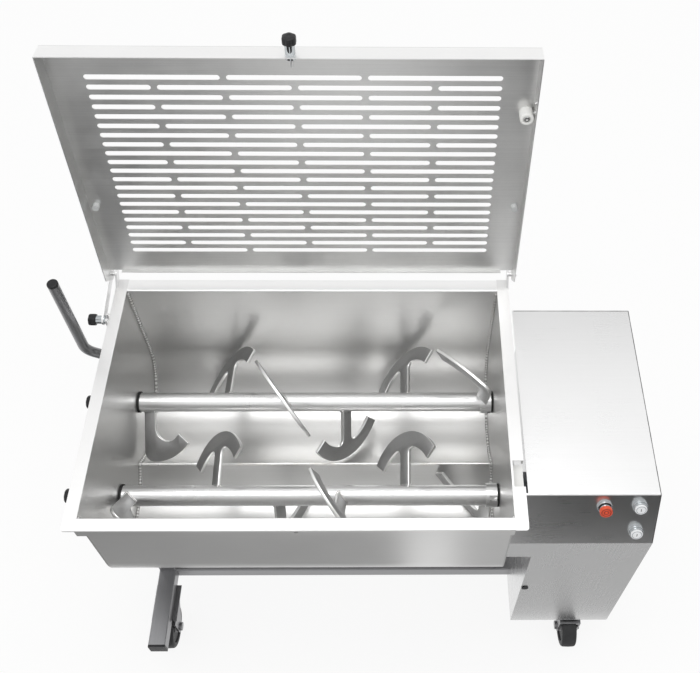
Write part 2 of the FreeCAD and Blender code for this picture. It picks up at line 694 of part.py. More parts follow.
def gear(teeth, y, bore, turn):
    """Involute spur gear along x; a tooth points at the angle turn from +y."""
    pressure = math.radians(20)
    pitch = gear_module * teeth / 2
    base = pitch * math.cos(pressure)
    tip, root = pitch + gear_module, pitch - 1.25 * gear_module
    half_tooth = (math.pi * gear_module / 2 - gear_backlash) / (2 * pitch)
    at_pitch = math.tan(pressure) - pressure

    def flank_point(radius, side, middle):
        spread = math.acos(min(1.0, base / radius))
        angle = middle + side * (half_tooth + at_pitch - (math.tan(spread) - spread))
        return V(gear_x0, y + radius * math.cos(angle), axis_z + radius * math.sin(angle))

    def polar(radius, angle):
        return V(gear_x0, y + radius * math.cos(angle), axis_z + radius * math.sin(angle))

    start = max(base, root) + 0.01
    radii = [start + (tip - start) * k / 5 for k in range(6)]
    foot = half_tooth + at_pitch
    edges = []
    for tooth in range(teeth):
        middle = math.radians(turn) + 2 * math.pi * tooth / teeth
        rising = [flank_point(r, -1, middle) for r in radii]
        falling = [flank_point(r, 1, middle) for r in reversed(radii)]
        following = middle + 2 * math.pi / teeth
        for points in (rising, falling):
            curve = Part.BSplineCurve()
            curve.interpolate(points)
            edges.append(curve.toShape())
        edges.append(Part.Arc(rising[-1], polar(tip, middle), falling[0]).toShape())
        low_a, low_b = polar(root, middle + foot), polar(root, following - foot)
        edges.append(Part.makeLine(falling[-1], low_a))
        edges.append(Part.Arc(low_a, polar(root, middle + math.pi / teeth), low_b).toShape())
        edges.append(Part.makeLine(low_b, flank_point(radii[0], -1, following)))
    outline = Part.Wire(Part.__sortEdges__(edges))
    blank = Part.Face(outline).extrude(V(gear_width, 0, 0))
    return blank.cut(rod(gear_x0 - 1, gear_x0 + gear_width + 1, y, axis_z, bore))


def tilt_handle():
    """Bent tube on the left end wall, rising out and then straight up."""
    y, foot_z = shaft_spacing + 28.0, rim_height - 104.0
    reach, rise, top, bend, radius = 77.0, 46.0, rim_height + 186.0, 35.0, 10.65
    start = V(-outer_wall_x, y, foot_z)
    corner = V(-outer_wall_x - reach, y, foot_z + rise)
    end = V(corner.x, y, top)
    first, second = (start - corner).normalize(), V(0, 0, 1)
    half_turn = math.acos(max(-1, min(1, first.dot(second)))) / 2
    setback = bend / math.tan(half_turn)
    centre = corner + (first + second).normalize() * (bend / math.sin(half_turn))
    a, b = corner + first * setback, corner + second * setback
    middle = centre + (corner - centre).normalize() * bend
    path = Part.Wire([Part.makeLine(start, a), Part.Arc(a, middle, b).toShape(),
                      Part.makeLine(b, end)])
    solids = []
    for r in (radius, radius - 2.5):
        circle = Part.Wire(Part.makeCircle(r, start, first * -1))
        solids.append(path.makePipeShell([circle], True, False))
    tube = solids[0].cut(solids[1])
    wall_side = box(-outer_wall_x, -outer_wall_x + 40, y - 30, y + 30, foot_z - 30, foot_z + 30)
    stub = Part.makeCylinder(radius, 14, start + first * 7, first * -1)
    stub = stub.cut(Part.makeCylinder(radius - 2.5, 20, start + first * 9, first * -1))
    return fuse(tube, stub).cut(wall_side)


stay_y, stay_z = hinge_y - arm_reach, hinge_z - arm_drop
lug_x0, lug_x1 = flange_x, flange_x + bracket_thickness


def hinge_brackets():
    """Bracket with welded pin at each rear corner, and the stay's lug.

    The lug has a notch, open at the top, that the stay's pin drops into.
    """
    solids = []
    for way in (-1, 1):
        x0, x1 = sorted((way * flange_x, way * (flange_x - bracket_thickness)))
        outline = [(rear_inside + 8, rim_height), (rear_inside + rear_flange, rim_height),
                   (hinge_y + bracket_boss, hinge_z), (hinge_y, hinge_z + 5),
                   (hinge_y - bracket_boss + 0.5, hinge_z + 3)]
        pin0, pin1 = sorted((way * (flange_x - bracket_thickness), way * (lid_half_width + 10)))
        solids.append(fuse(plate(x0, x1, outline), rod(x0, x1, hinge_y, hinge_z, bracket_boss),
                           rod(pin0, pin1, hinge_y, hinge_z, hinge_pin_radius)))
    lug = box(-lug_x1, -lug_x0, stay_y - 11, stay_y + 11, rim_height - side_lip + 1,
              lid_face_z - 1.5)
    notch_half = plunger_radius + gap
    notch = box(-lug_x1 - 1, -lug_x0 + 1, stay_y - notch_half, stay_y + notch_half,
                stay_z - notch_half, lid_face_z)
    solids.append(lug.cut(notch))
    return solids


def lid_sensor():
    """Safety switch under the notch, where the lid's magnet comes down."""
    top = lid_face_z - puck_height - 4
    body = box(outer_wall_x, flange_x - 1, puck_y - 24, puck_y + 24, top - 16, top)
    return body.makeFillet(2.0, [e for e in body.Edges
                                 if abs(e.tangentAt(e.FirstParameter).z) > 0.9])


# Lid, modelled closed and then turned open about the hinge pins

def slot_spans(row):
    """Start and end of each slot in a row, along x."""
    web = (slot_field - 3 * slot_full) / 2
    end_length = (slot_field - 2 * slot_full - 3 * web) / 2
    lengths = [slot_full] * 3 if row % 2 == 0 else [end_length, slot_full, slot_full, end_length]
    spans, x = [], -slot_field / 2
    for length in lengths:
        spans.append((x, x + length))
        x += length + web
    return spans


def lid_pan():
    top = lid_face_z + lid_sheet
    low = lid_face_z - lid_flange_depth
    wide = lid_half_width + lid_sheet
    front = lid_front_y - lid_sheet
    panel = box(-wide, wide, front, lid_rear_y, lid_face_z, top)
    front_wall = box(-wide, wide, front, lid_front_y, low, top)
    rear_half = lid_half_width - 27
    rear_wall = box(-rear_half, rear_half, lid_rear_y - lid_sheet, lid_rear_y,
                    lid_face_z - lid_rear_return, top)
    pieces = [panel, front_wall, rear_wall]
    for x0 in (-wide, lid_half_width):
        x1 = x0 + lid_sheet
        side = box(x0, x1, front, lid_rear_y, low, top)
        ear = plate(x0, x1, [(lid_rear_y - 20, low), (lid_rear_y, low),
                             (hinge_y + 10, hinge_z - 8.3), (hinge_y, hinge_z + ear_radius),
                             (lid_rear_y - 20, top)])
        ear = ear.fuse(rod(x0, x1, hinge_y, hinge_z, ear_radius))
        ear = ear.cut(rod(x0 - 1, x1 + 1, hinge_y, hinge_z, hinge_pin_radius + running))
        pieces += [side, ear]
    pan = fuse(*pieces)
    pin_holes = rod(-wide - 1, wide + 1, hinge_y, hinge_z, hinge_pin_radius + running)
    cutters = [pin_holes, Part.makeCylinder(plunger_radius + running, 10,
                                            V(0, front - 4, latch_z), Y)]
    for row in range(slot_rows):
        y = lid_rear_y - slot_end_margin - row * slot_pitch
        for x0, x1 in slot_spans(row):
            r = slot_width / 2
            middle = box(x0 + r, x1 - r, y - r, y + r, lid_face_z - 5, top + 5)
            ends = [Part.makeCylinder(r, 20, V(x, y, lid_face_z - 5)) for x in (x0 + r, x1 - r)]
            ends = [e.common(box(x0, x1, y - r, y + r, lid_face_z - 5, top + 5)) for e in ends]
            cutters += [middle] + ends
    return turned(pan.cut(cutters), -lid_open_angle)


def stay_arm():
    """Arm on the lid's left ear, modelled where it lies with the lid open."""
    x0, x1 = -lid_half_width - lid_sheet - bracket_thickness, -lid_half_width - lid_sheet
    arm = stadium(x0, x1, (hinge_y, hinge_z), (stay_y, stay_z), arm_half_width)
    arm = arm.cut(rod(x0 - 1, x1 + 1, hinge_y, hinge_z, hinge_pin_radius + running))
    return arm.cut(rod(x0 - 1, x1 + 1, stay_y, stay_z, plunger_radius + running))


def lid_rest_pads():
    """Nylon pegs under the panel that rest on the tank's side flanges."""
    pads = []
    for way in (-1, 1):
        at = V(way * (outer_wall_x + 15), lid_rear_y - 190, rim_height + gap)
        peg = Part.makeCylinder(7, lid_gap - gap, at)
        pads.append(turned(peg, -lid_open_angle))
    return pads


def interlock_puck():
    low = lid_face_z - puck_height
    puck = Part.makeCylinder(puck_radius, puck_height, V(puck_x, puck_y, low))
    puck = puck.makeFillet(2.0, [e for e in puck.Edges if e.Closed
                                 and e.CenterOfMass.z < low + 1])
    puck = puck.cut(Part.makeCylinder(4.0, puck_height - 4, V(puck_x, puck_y, low)))
    return turned(puck, -lid_open_angle)


def along_y(y0, y1, radius):
    return Part.makeCylinder(radius, y1 - y0, V(0, y0, latch_z), Y)


latch_face = lid_front_y - lid_sheet
latch_rest_gap = 1.0
stay_face = -lid_half_width - lid_sheet - bracket_thickness


def plunger_housings():
    """Threaded sleeves of the two plungers, with their nuts."""
    latch = fuse(along_y(latch_face - latch_sleeve, latch_face, sleeve_radius),
                 along_y(lid_front_y, lid_front_y + 8, 10.0))
    latch = latch.cut(along_y(latch_face - latch_sleeve - 5, lid_front_y + 20,
                              plunger_radius + running))
    stay = fuse(rod(stay_face - stay_sleeve, stay_face, stay_y, stay_z, sleeve_radius),
                rod(stay_face + bracket_thickness, stay_face + bracket_thickness + 2.5, stay_y,
                    stay_z, sleeve_radius))
    sleeves = [turned(part, -lid_open_angle) for part in latch.Solids]
    stay = stay.cut(rod(stay_face - stay_sleeve - 5, stay_face + 20, stay_y, stay_z,
                        plunger_radius + running))
    return sleeves + stay.Solids


def lobed_knob(length):
    """Six-lobed knob along z from z = 0 up, hollow below to slide over its sleeve."""
    knob = Part.makeCylinder(knob_radius - 1.5, length)
    for k in range(6):
        angle = math.radians(60 * k)
        lobe = Part.makeCylinder(4.2, length, V((knob_radius - 4.2) * math.cos(angle),
                                                (knob_radius - 4.2) * math.sin(angle), 0))
        knob = knob.fuse(lobe)
    hollow = Part.makeCylinder(sleeve_radius + gap, knob_hollow, V(0, 0, -0.1))
    return knob.removeSplitter().cut(hollow)


def latch_plunger():
    tip = lip_y - latch_rest_gap
    knob = lobed_knob(knob_length)
    knob.rotate(V(0, 0, 0), X, 90)
    knob.translate(V(0, latch_face - latch_sleeve + 1, latch_z))
    pin = along_y(latch_face - latch_sleeve - knob_hollow - 4, tip, plunger_radius)
    return [turned(pin, -lid_open_angle), turned(knob.cut(pin), -lid_open_angle)]


def stay_plunger():
    tip = -lug_x1 - gap
    knob = lobed_knob(knob_length)
    knob.rotate(V(0, 0, 0), Y, -90)
    knob.translate(V(stay_face - stay_sleeve + 1, stay_y, stay_z))
    pin = rod(stay_face - stay_sleeve - knob_hollow - 4, tip, stay_y, stay_z, plunger_radius)
    return [pin, knob.cut(pin)]


# Shafts

cross_pin_x = half - 16.0
cross_pin_radius = 5.0
collar_radius = shaft_radius + 3.8
collar_start = half - 28.0
shaft_left = -half + 4.5
shaft_right = half - 4.5


def paddle_shaft(y, slot_turn):
    """Tube with a bored plug at the left and a slotted collar at the right."""
    tube = rod(shaft_left, collar_start, y, axis_z, shaft_radius)
    bore = rod(shaft_left + 45, collar_start - 10, y, axis_z, shaft_bore)
    pin_bore = rod(shaft_left - 1, shaft_left + 46, y, axis_z, support_pin_radius + running)
    collar = rod(collar_start, shaft_right, y, axis_z, collar_radius)
    stub_bore = rod(collar_start - 10.5, shaft_right + 1, y, axis_z, stub_radius + running)
    reach = cross_pin_radius + 0.2
    slot = box(cross_pin_x - reach, shaft_right + 1, y - reach, y + reach, axis_z - 40, axis_z + 40)
    slot = turned(slot, slot_turn - 90, y, axis_z)
    return fuse(tube, collar).cut([bore, pin_bore, stub_bore, slot])


def drive_shaft(y, end_x, slot_turn):
    """Drive stub with the cross pin that sits in the collar's slot."""
    stub = rod(collar_start - 6, end_x, y, axis_z, stub_radius)
    pin = Part.makeCylinder(cross_pin_radius, 2 * collar_radius - 2,
                            V(cross_pin_x, y, axis_z - collar_radius + 1))
    return fuse(stub, turned(pin, slot_turn - 90, y, axis_z))


def paddle(x, y, phase, slant_angle, sides, arc):
    """Anchor-shaped plate: stem and curved blade, on one or both sides."""
    centre, outer, inner, half_angle = arc
    limit = math.radians(half_angle)
    low = -limit if -1 in sides else -math.atan2(paddle_stem / 2, outer)
    high = limit if 1 in sides else math.atan2(paddle_stem / 2, outer)

    def at(radius, angle):
        return V(radius * math.sin(angle), centre + radius * math.cos(angle), 0)

    middle = (low + high) / 2
    blade = Part.Wire([
        Part.Arc(at(outer, low), at(outer, middle), at(outer, high)).toShape(),
        Part.makeLine(at(outer, high), at(inner, high)),
        Part.Arc(at(inner, high), at(inner, middle), at(inner, low)).toShape(),
        Part.makeLine(at(inner, low), at(outer, low))])
    blade = Part.Face(blade).extrude(V(0, 0, paddle_sheet))
    stem = Part.makeBox(paddle_stem, centre + inner + 8, paddle_sheet,
                        V(-paddle_stem / 2, 0, 0))
    solid = fuse(blade, stem)
    solid.translate(V(0, 0, -paddle_sheet / 2))
    corners = [e for e in solid.Edges if abs(e.tangentAt(e.FirstParameter).z) > 0.99
               and e.Length < paddle_sheet + 0.01
               and math.hypot(e.CenterOfMass.x, e.CenterOfMass.y - centre) < inner + 1
               and e.CenterOfMass.y > 40
               and abs(e.CenterOfMass.x) < paddle_stem / 2 + 1]
    if corners:
        solid = solid.makeFillet(12.0, corners)
    slant, turn = math.radians(slant_angle), math.radians(phase)
    radial = V(0, math.cos(turn), math.sin(turn))
    tangent = V(0, -math.sin(turn), math.cos(turn))
    chord = X * math.cos(slant) + tangent * math.sin(slant)
    normal = chord.cross(radial)
    matrix = FreeCAD.Matrix(chord.x, radial.x, normal.x, x, chord.y, radial.y, normal.y, y,
                            chord.z, radial.z, normal.z, axis_z, 0, 0, 0, 1)
    solid = solid.transformShape(matrix)
    return solid.cut([rod(x - 60, x + 60, y, axis_z, shaft_radius),
                      rod(collar_start, shaft_right + 9, y, axis_z, collar_radius)])


def paddles(y, first_phase, step, end_paddles):
    """Four anchors a step apart, and a half anchor beside each end wall."""
    (left_phase, left_slant), (right_phase, right_slant) = end_paddles
    solids = [paddle(-end_paddle_x, y, left_phase, left_slant, (1,), blade_arc)]
    for k in range(4):
        x = paddle_pitch * (k - 1.5)
        solids.append(paddle(x, y, first_phase + k * step, paddle_slant, (-1, 1), blade_arc))
    return solids + [paddle(end_paddle_x, y, right_phase, right_slant, (-1,), long_blade_arc)]


def all_parts():
    rear_idler_turn = 0.0
    front_idler_turn = 180.0 / idler_teeth
    parts = {
        "floor_tubes": floor_tubes(), "foot_end_caps": foot_end_caps(),
        "left_post": left_post(), "left_bearing_plate": left_bearing_plate(),
        "tilt_buffer": tilt_buffer(), "cross_tube": cross_tube(),
        "pivot_bearings": pivot_bearings(), "caster_plates": caster_plates(),
        "cabinet_body": cabinet_body(), "cabinet_hood": cabinet_hood(),
        "front_cover": front_cover(), "rear_cover": rear_cover(),
        "cable_gland": cable_gland(), "panel_lock": panel_lock(),
        "gearbox_housing": gearbox_housing(), "motor_housing": motor_housing(),
        "motor_shaft": motor_shaft(), "worm_wheel": worm_wheel(),
        "electrical_box": electrical_box(), "button_barrels": button_barrels(),
        "tank_shell": tank_shell(), "tank_end_left": tank_end(-1),
        "tank_end_right": tank_end(1), "shaft_hubs": shaft_hubs(),
        "shaft_seals": shaft_seals(), "gearcase": gearcase(),
        "gearcase_cover": gearcase_cover(), "tilt_handle": tilt_handle(),
        "hinge_brackets": hinge_brackets(), "lid_sensor": lid_sensor(),
        "lid_pan": lid_pan(), "stay_arm": stay_arm(), "lid_rest_pads": lid_rest_pads(),
        "interlock_puck": interlock_puck(), "plunger_housings": plunger_housings(),
        "latch_plunger": latch_plunger(), "stay_plunger": stay_plunger(),
        "front_shaft": paddle_shaft(0, front_collar_slot),
        "rear_shaft": paddle_shaft(shaft_spacing, rear_collar_slot),
        "front_paddles": paddles(0, front_paddle_phase, -paddle_step, front_end_paddles),
        "rear_paddles": paddles(shaft_spacing, rear_paddle_phase, paddle_step, rear_end_paddles),
        "front_drive_shaft": drive_shaft(0, gearbox_x1 - 1, front_collar_slot),
        "rear_drive_shaft": drive_shaft(shaft_spacing, outer_wall_x + gearcase_depth - 3 - gap,
                                        rear_collar_slot),
        "front_gear": gear(end_gear_teeth, 0, stub_radius, 0),
        "rear_gear": gear(end_gear_teeth, shaft_spacing, stub_radius, 0),
        "front_idler_gear": gear(idler_teeth, idler_places[0], idler_axle + running,
                                 front_idler_turn),
        "rear_idler_gear": gear(idler_teeth, idler_places[1], idler_axle + running,
                                rear_idler_turn),
        "front_support_pin": support_pin(0), "rear_support_pin": support_pin(shaft_spacing),
    }
    for name in button_places:
        parts[name] = button(name)
    for number, (x, y) in enumerate(caster_places, 1):
        parts[f"caster_fork_{number}"] = caster_fork(x, y)
        parts[f"caster_wheel_{number}"] = caster_wheel(x, y)
    return {name: shape if isinstance(shape, list) else [shape] for name, shape in parts.items()}


os.makedirs("parts", exist_ok=True)
made = all_parts()
everything = Part.makeCompound([solid for solids in made.values() for solid in solids])
overall = everything.optimalBoundingBox(True, False)
origin = V(overall.Center.x, overall.Center.y, overall.ZMin)
for name, solids in made.items():
    shape = solids[0].copy() if len(solids) == 1 else Part.makeCompound(solids)
    shape.translate(origin * -1)
    shape.exportStep(f"parts/{name}.step")
print(f"{len(made)} nodes, {sum(len(s) for s in made.values())} solids")
print(f"origin at x {origin.x:.3f}, y {origin.y:.3f}, z {origin.z:.3f} of the modelling frame")
print(f"box {overall.XLength:.2f} x {overall.YLength:.2f} x {overall.ZLength:.2f}")
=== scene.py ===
import json
import math

import bpy
import numpy as np
from mathutils import Matrix, Vector


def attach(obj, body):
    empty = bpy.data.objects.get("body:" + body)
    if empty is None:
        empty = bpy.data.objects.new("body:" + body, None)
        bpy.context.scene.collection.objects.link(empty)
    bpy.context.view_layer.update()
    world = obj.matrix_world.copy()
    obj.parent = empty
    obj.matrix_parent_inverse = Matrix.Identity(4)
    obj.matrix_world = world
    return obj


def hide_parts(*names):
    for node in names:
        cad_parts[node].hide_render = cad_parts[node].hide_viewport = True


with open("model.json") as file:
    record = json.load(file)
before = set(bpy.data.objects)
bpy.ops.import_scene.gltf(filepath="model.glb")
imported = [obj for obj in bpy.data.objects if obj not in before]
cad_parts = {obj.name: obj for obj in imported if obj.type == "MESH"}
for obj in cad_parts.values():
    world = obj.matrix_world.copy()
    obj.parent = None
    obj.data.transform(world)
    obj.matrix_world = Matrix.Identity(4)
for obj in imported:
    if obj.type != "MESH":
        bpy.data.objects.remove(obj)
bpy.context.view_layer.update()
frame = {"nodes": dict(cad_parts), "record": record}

# Where places in millimetres start from: the tank's middle in x, the front shaft in y, the floor in z
tankOrigin = np.array([-0.088, -0.130309, 0.0])
axisX, axisY, axisZ = np.eye(3)
# Sizes in millimetres that several pieces share; pairs are (y, z)
shared = {
    "shaftHeight": 580.0,
    "shaftSpacing": 220.0,
    "hinge": (393.0, 838.0),
    "bandTop": (-78.0, 770.0),
    "bandFoot": (-128.0, 648.4),
    "cabinetRear": 343.0,
}


def tankPoint(x, y, z):
    # a place given in millimetres from the tank's own origin, as metres in the frame
    return np.array([x, y, z]) / 1000 + tankOrigin


# Camera, at the photograph's place and angle
photoCamera = {
    "place": (0.096825, -0.912868, 2.487671),
    "pitchDown": 0.8973,
    "yawRight": 0.0223,
    "roll": 0.0196,
    "focalPixels": 930.948,
    "centrePixels": (411.03, 223.44),
    "photoPixels": (700, 673),
    "sensor": 36.0,
    "clipEnd": 100.0,
}


def makeCamera(look):
    pitch, yaw, roll = look["pitchDown"], look["yawRight"], look["roll"]
    forward = Vector((math.sin(yaw) * math.cos(pitch), math.cos(yaw) * math.cos(pitch), -math.sin(pitch)))
    right = Vector((math.cos(yaw), -math.sin(yaw), 0))
    up = right.cross(forward)
    tiltedRight = right * math.cos(roll) + up * math.sin(roll)
    tiltedUp = up * math.cos(roll) - right * math.sin(roll)
    turn = Matrix((tiltedRight, tiltedUp, -forward)).transposed()
    wide, high = look["photoPixels"]
    data = bpy.data.cameras.new("photoCamera")
    data.sensor_width = look["sensor"]
    data.lens = look["focalPixels"] / wide * look["sensor"]
    data.shift_x = (wide / 2 - look["centrePixels"][0]) / wide
    data.shift_y = (look["centrePixels"][1] - high / 2) / wide
    data.clip_end = look["clipEnd"]
    camera = bpy.data.objects.new("photoCamera", data)
    camera.matrix_world = Matrix.Translation(look["place"]) @ turn.to_4x4()
    bpy.context.scene.collection.objects.link(camera)
    bpy.context.scene.camera = camera


makeCamera(photoCamera)
print("camera placed")


# Shader building
class Signal:
    # one output of a shader node; sums and products of signals add their own Math nodes
    def __init__(self, tree, socket):
        self.tree = tree
        self.socket = socket

    def maths(self, operation, first, second):
        return addNode(self.tree, "ShaderNodeMath", {"operation": operation}, {0: first, 1: second})

    def __add__(self, other):
        return self.maths("ADD", self, other)

    def __sub__(self, other):
        return self.maths("SUBTRACT", self, other)

    def __rsub__(self, other):
        return self.maths("SUBTRACT", other, self)

    def __mul__(self, other):
        return self.maths("MULTIPLY", self, other)

    def __gt__(self, other):
        return self.maths("GREATER_THAN", self, other)

    def __or__(self, other):
        return self.maths("MAXIMUM", self, other)

    __radd__ = __add__
    __rmul__ = __mul__


def feed(tree, node, name, value):
    # a signal is linked to the node's socket, and anything else is set on it
    if isinstance(value, Signal):
        tree.links.new(value.socket, node.inputs[name])
    else:
        node.inputs[name].default_value = value


def addNode(tree, kind, settings=None, sockets=None, output=0):
    # makes a shader node, sets it up, feeds its sockets and gives the chosen output
    node = tree.nodes.new(kind)
    for name, value in (settings or {}).items():
        if name == "stops":
            stops = node.color_ramp.elements
            while len(stops) < len(value):
                stops.new(0.5)
            for stop, (place, colour) in zip(stops, value):
                stop.position = place
                stop.color = (*colour, 1)
        else:
            setattr(node, name, value)
    for name, value in (sockets or {}).items():
        feed(tree, node, name, value)
    return Signal(tree, node.outputs[output]) if node.outputs else node


def blendColours(tree, factor, first, second):
    first, second = (value if isinstance(value, Signal) else (*value, 1.0) for value in (first, second))
    return addNode(tree, "ShaderNodeMix", {"data_type": "RGBA"}, {0: factor, 6: first, 7: second}, 2)


def noise(tree, place, scale, detail, rough):
    return addNode(tree, "ShaderNodeTexNoise", {},
                   {"Vector": place, "Scale": scale, "Detail": detail, "Roughness": rough})


def stretched(tree, scale=(1, 1, 1), turn=(0, 0, 0)):
    # Object coordinates, drawn out along the grain where the scale is small
    place = addNode(tree, "ShaderNodeTexCoord", output=3)
    return addNode(tree, "ShaderNodeMapping", {}, {"Vector": place, "Rotation": turn, "Scale": scale})


def edgeMask(tree):
    # the point attribute "edge", which a piece carries where its colour changes: a paddle's cut rim, a weld's
    # crests, and a button's grooves with their painted shade
    return addNode(tree, "ShaderNodeAttribute", {"attribute_name": "edge"}, {}, 2)


def newFinish(name):
    material = bpy.data.materials.new(name)
    material.use_nodes = True
    tree = material.node_tree
    return material, tree, tree.nodes["Principled BSDF"]


def dress(tree, shader, look, height, sockets):
    # feeds the shader's sockets, and its normal from a bump node on the height signal
    relief = {"Strength": look["relief"], "Distance": look["reliefDepth"], "Height": height}
    for name, value in {**sockets, "Normal": addNode(tree, "ShaderNodeBump", {}, relief)}.items():
        feed(tree, shader, name, value)


def brushedSteel(name, look):
    # long fine grain, broad smudges and a few stray scratches, in colour, gloss and relief; where asked, a
    # painted highlight above a given height
    material, tree, shader = newFinish(name)
    flat = stretched(tree)
    grain = noise(tree, stretched(tree, look["grain"]), 1.0, detail=4.0, rough=0.6)
    smudge = noise(tree, flat, look["smudgeScale"], detail=3.0, rough=0.55)
    speck = noise(tree, flat, look["speckScale"], detail=2.0, rough=0.7)
    scratchPlace = stretched(tree, look["scratch"], look["scratchTurn"])
    scratch = noise(tree, scratchPlace, 1.0, detail=1.0, rough=0.4) > look["scratchLevel"]
    grainShare, smudgeShare, speckShare = look["toneShares"]
    tone = grain * grainShare + smudge * smudgeShare + speck * speckShare
    base = blendColours(tree, tone, look["dark"], look["light"])
    base = blendColours(tree, scratch * look["scratchTone"], base, look["scratchColour"])
    if "rim" in look:
        # above this height the sheet's top part is painted lighter: a painted highlight where the overhead light
        # falls on it
        height = addNode(tree, "ShaderNodeSeparateXYZ", {}, {"Vector": flat}, 2)
        base = blendColours(tree, height > look["rim"], base, look["rimColour"])
    gloss = (look["gloss"] + (grain - 0.5) * look["glossGrain"] + (smudge - 0.5) * look["glossSmudge"])
    speckHeight, scratchDepth = look["heightShares"]
    dress(tree, shader, look, grain + speck * speckHeight - scratch * scratchDepth,
          {"Base Color": base, "Metallic": 1.0, "Roughness": gloss})
    return material


def mouldedPlastic(name, look):
    # fine moulded texture with faint handling marks
    material, tree, shader = newFinish(name)
    flat = stretched(tree)
    pebble = noise(tree, flat, look["pebble"], detail=2.0, rough=0.5)
    wear = noise(tree, flat, look["wearScale"], detail=4.0, rough=0.6)
    base = blendColours(tree, wear, look["dark"], look["light"])
    if "inlay" in look:
        # the mask is 1 in the moulded grooves, which are painted darker there: painted shade in the grooves
        base = blendColours(tree, edgeMask(tree), base, look["inlay"])
    dress(tree, shader, look, pebble, {"Base Color": base, "Specular IOR Level": look["specular"],
                                       "Roughness": look["gloss"] + (wear - 0.5) * look["glossWear"]})
    return material


def cutPlateSteel(name, look):
    # flat grey plate faces; the mask is 1 on the cut rim and 0 on the faces
    material, tree, shader = newFinish(name)
    edge = edgeMask(tree)
    flat = stretched(tree)
    mill = noise(tree, flat, look["millScale"], detail=4.0, rough=0.65)
    cloud = noise(tree, flat, look["cloudScale"], detail=2.0, rough=0.5)
    streak = noise(tree, stretched(tree, look["streak"], look["streakTurn"]), 1.0, detail=2.0, rough=0.6)
    face = blendColours(tree, mill * look["millShare"] + cloud * (1 - look["millShare"]),
                        look["dark"], look["light"])
    gloss = look["gloss"] + (mill - 0.5) * look["glossMill"] - edge * look["edgeShine"]
    onFace = look["streakOnFace"]
    dress(tree, shader, look, mill * look["millShare"] + streak * (edge * (1 - onFace) + onFace),
          {"Base Color": blendColours(tree, edge, face, look["edgeColour"]), "Metallic": 1.0,
           "Roughness": gloss})
    return material


def weldSteel(name, look):
    # bead metal with drifting heat tint and dark pits of slag, and painted shade darkening the valleys between
    # the ripples; the mask is 1 on the crests
    material, tree, shader = newFinish(name)
    flat = stretched(tree)
    heat = noise(tree, flat, look["heatScale"], detail=2.0, rough=0.5)
    pit = noise(tree, flat, look["pitScale"], detail=3.0, rough=0.7)
    tint = addNode(tree, "ShaderNodeValToRGB", {"stops": look["heatStops"]}, {"Fac": heat})
    spots, valleyShade = pit > look["pitLevel"], 1 - edgeMask(tree)
    base = blendColours(tree, spots * look["pitTone"], tint, look["slagAndShadeColour"])
    # painted shade: the valleys between the ripples are darkened towards the same near-black as the slag
    base = blendColours(tree, valleyShade * look["valleyShadeTone"], base, look["slagAndShadeColour"])
    dress(tree, shader, look, pit, {"Base Color": base, "Metallic": 1.0,
                                    "Roughness": look["gloss"] + pit * look["glossPit"]})
    return material


alongX, alongY, alongZ = (5, 520, 520), (520, 5, 520), (520, 520, 5)
steelBase = {
    "dark": (0.76, 0.757, 0.75), "light": (0.93, 0.927, 0.92), "grain": alongX, "smudgeScale": 7.0,
    "speckScale": 260.0, "toneShares": (0.5, 0.42, 0.08), "heightShares": (0.1, 0.4),
    "scratch": (3.0, 700.0, 700.0), "scratchTurn": (0.5, 0.35, 0.6), "scratchLevel": 0.79,
    "scratchTone": 0.25, "scratchColour": (0.8, 0.8, 0.79), "gloss": 0.3, "glossGrain": 0.14,
    "glossSmudge": 0.12, "relief": 0.025, "reliefDepth": 0.0004,
}
plasticBase = {"specular": 0.5, "glossWear": 0.15, "reliefDepth": 0.0003}


def steel(name, **changes):
    return brushedSteel(name, {**steelBase, **changes})


def plastic(name, **changes):
    return mouldedPlastic(name, {**plasticBase, **changes})


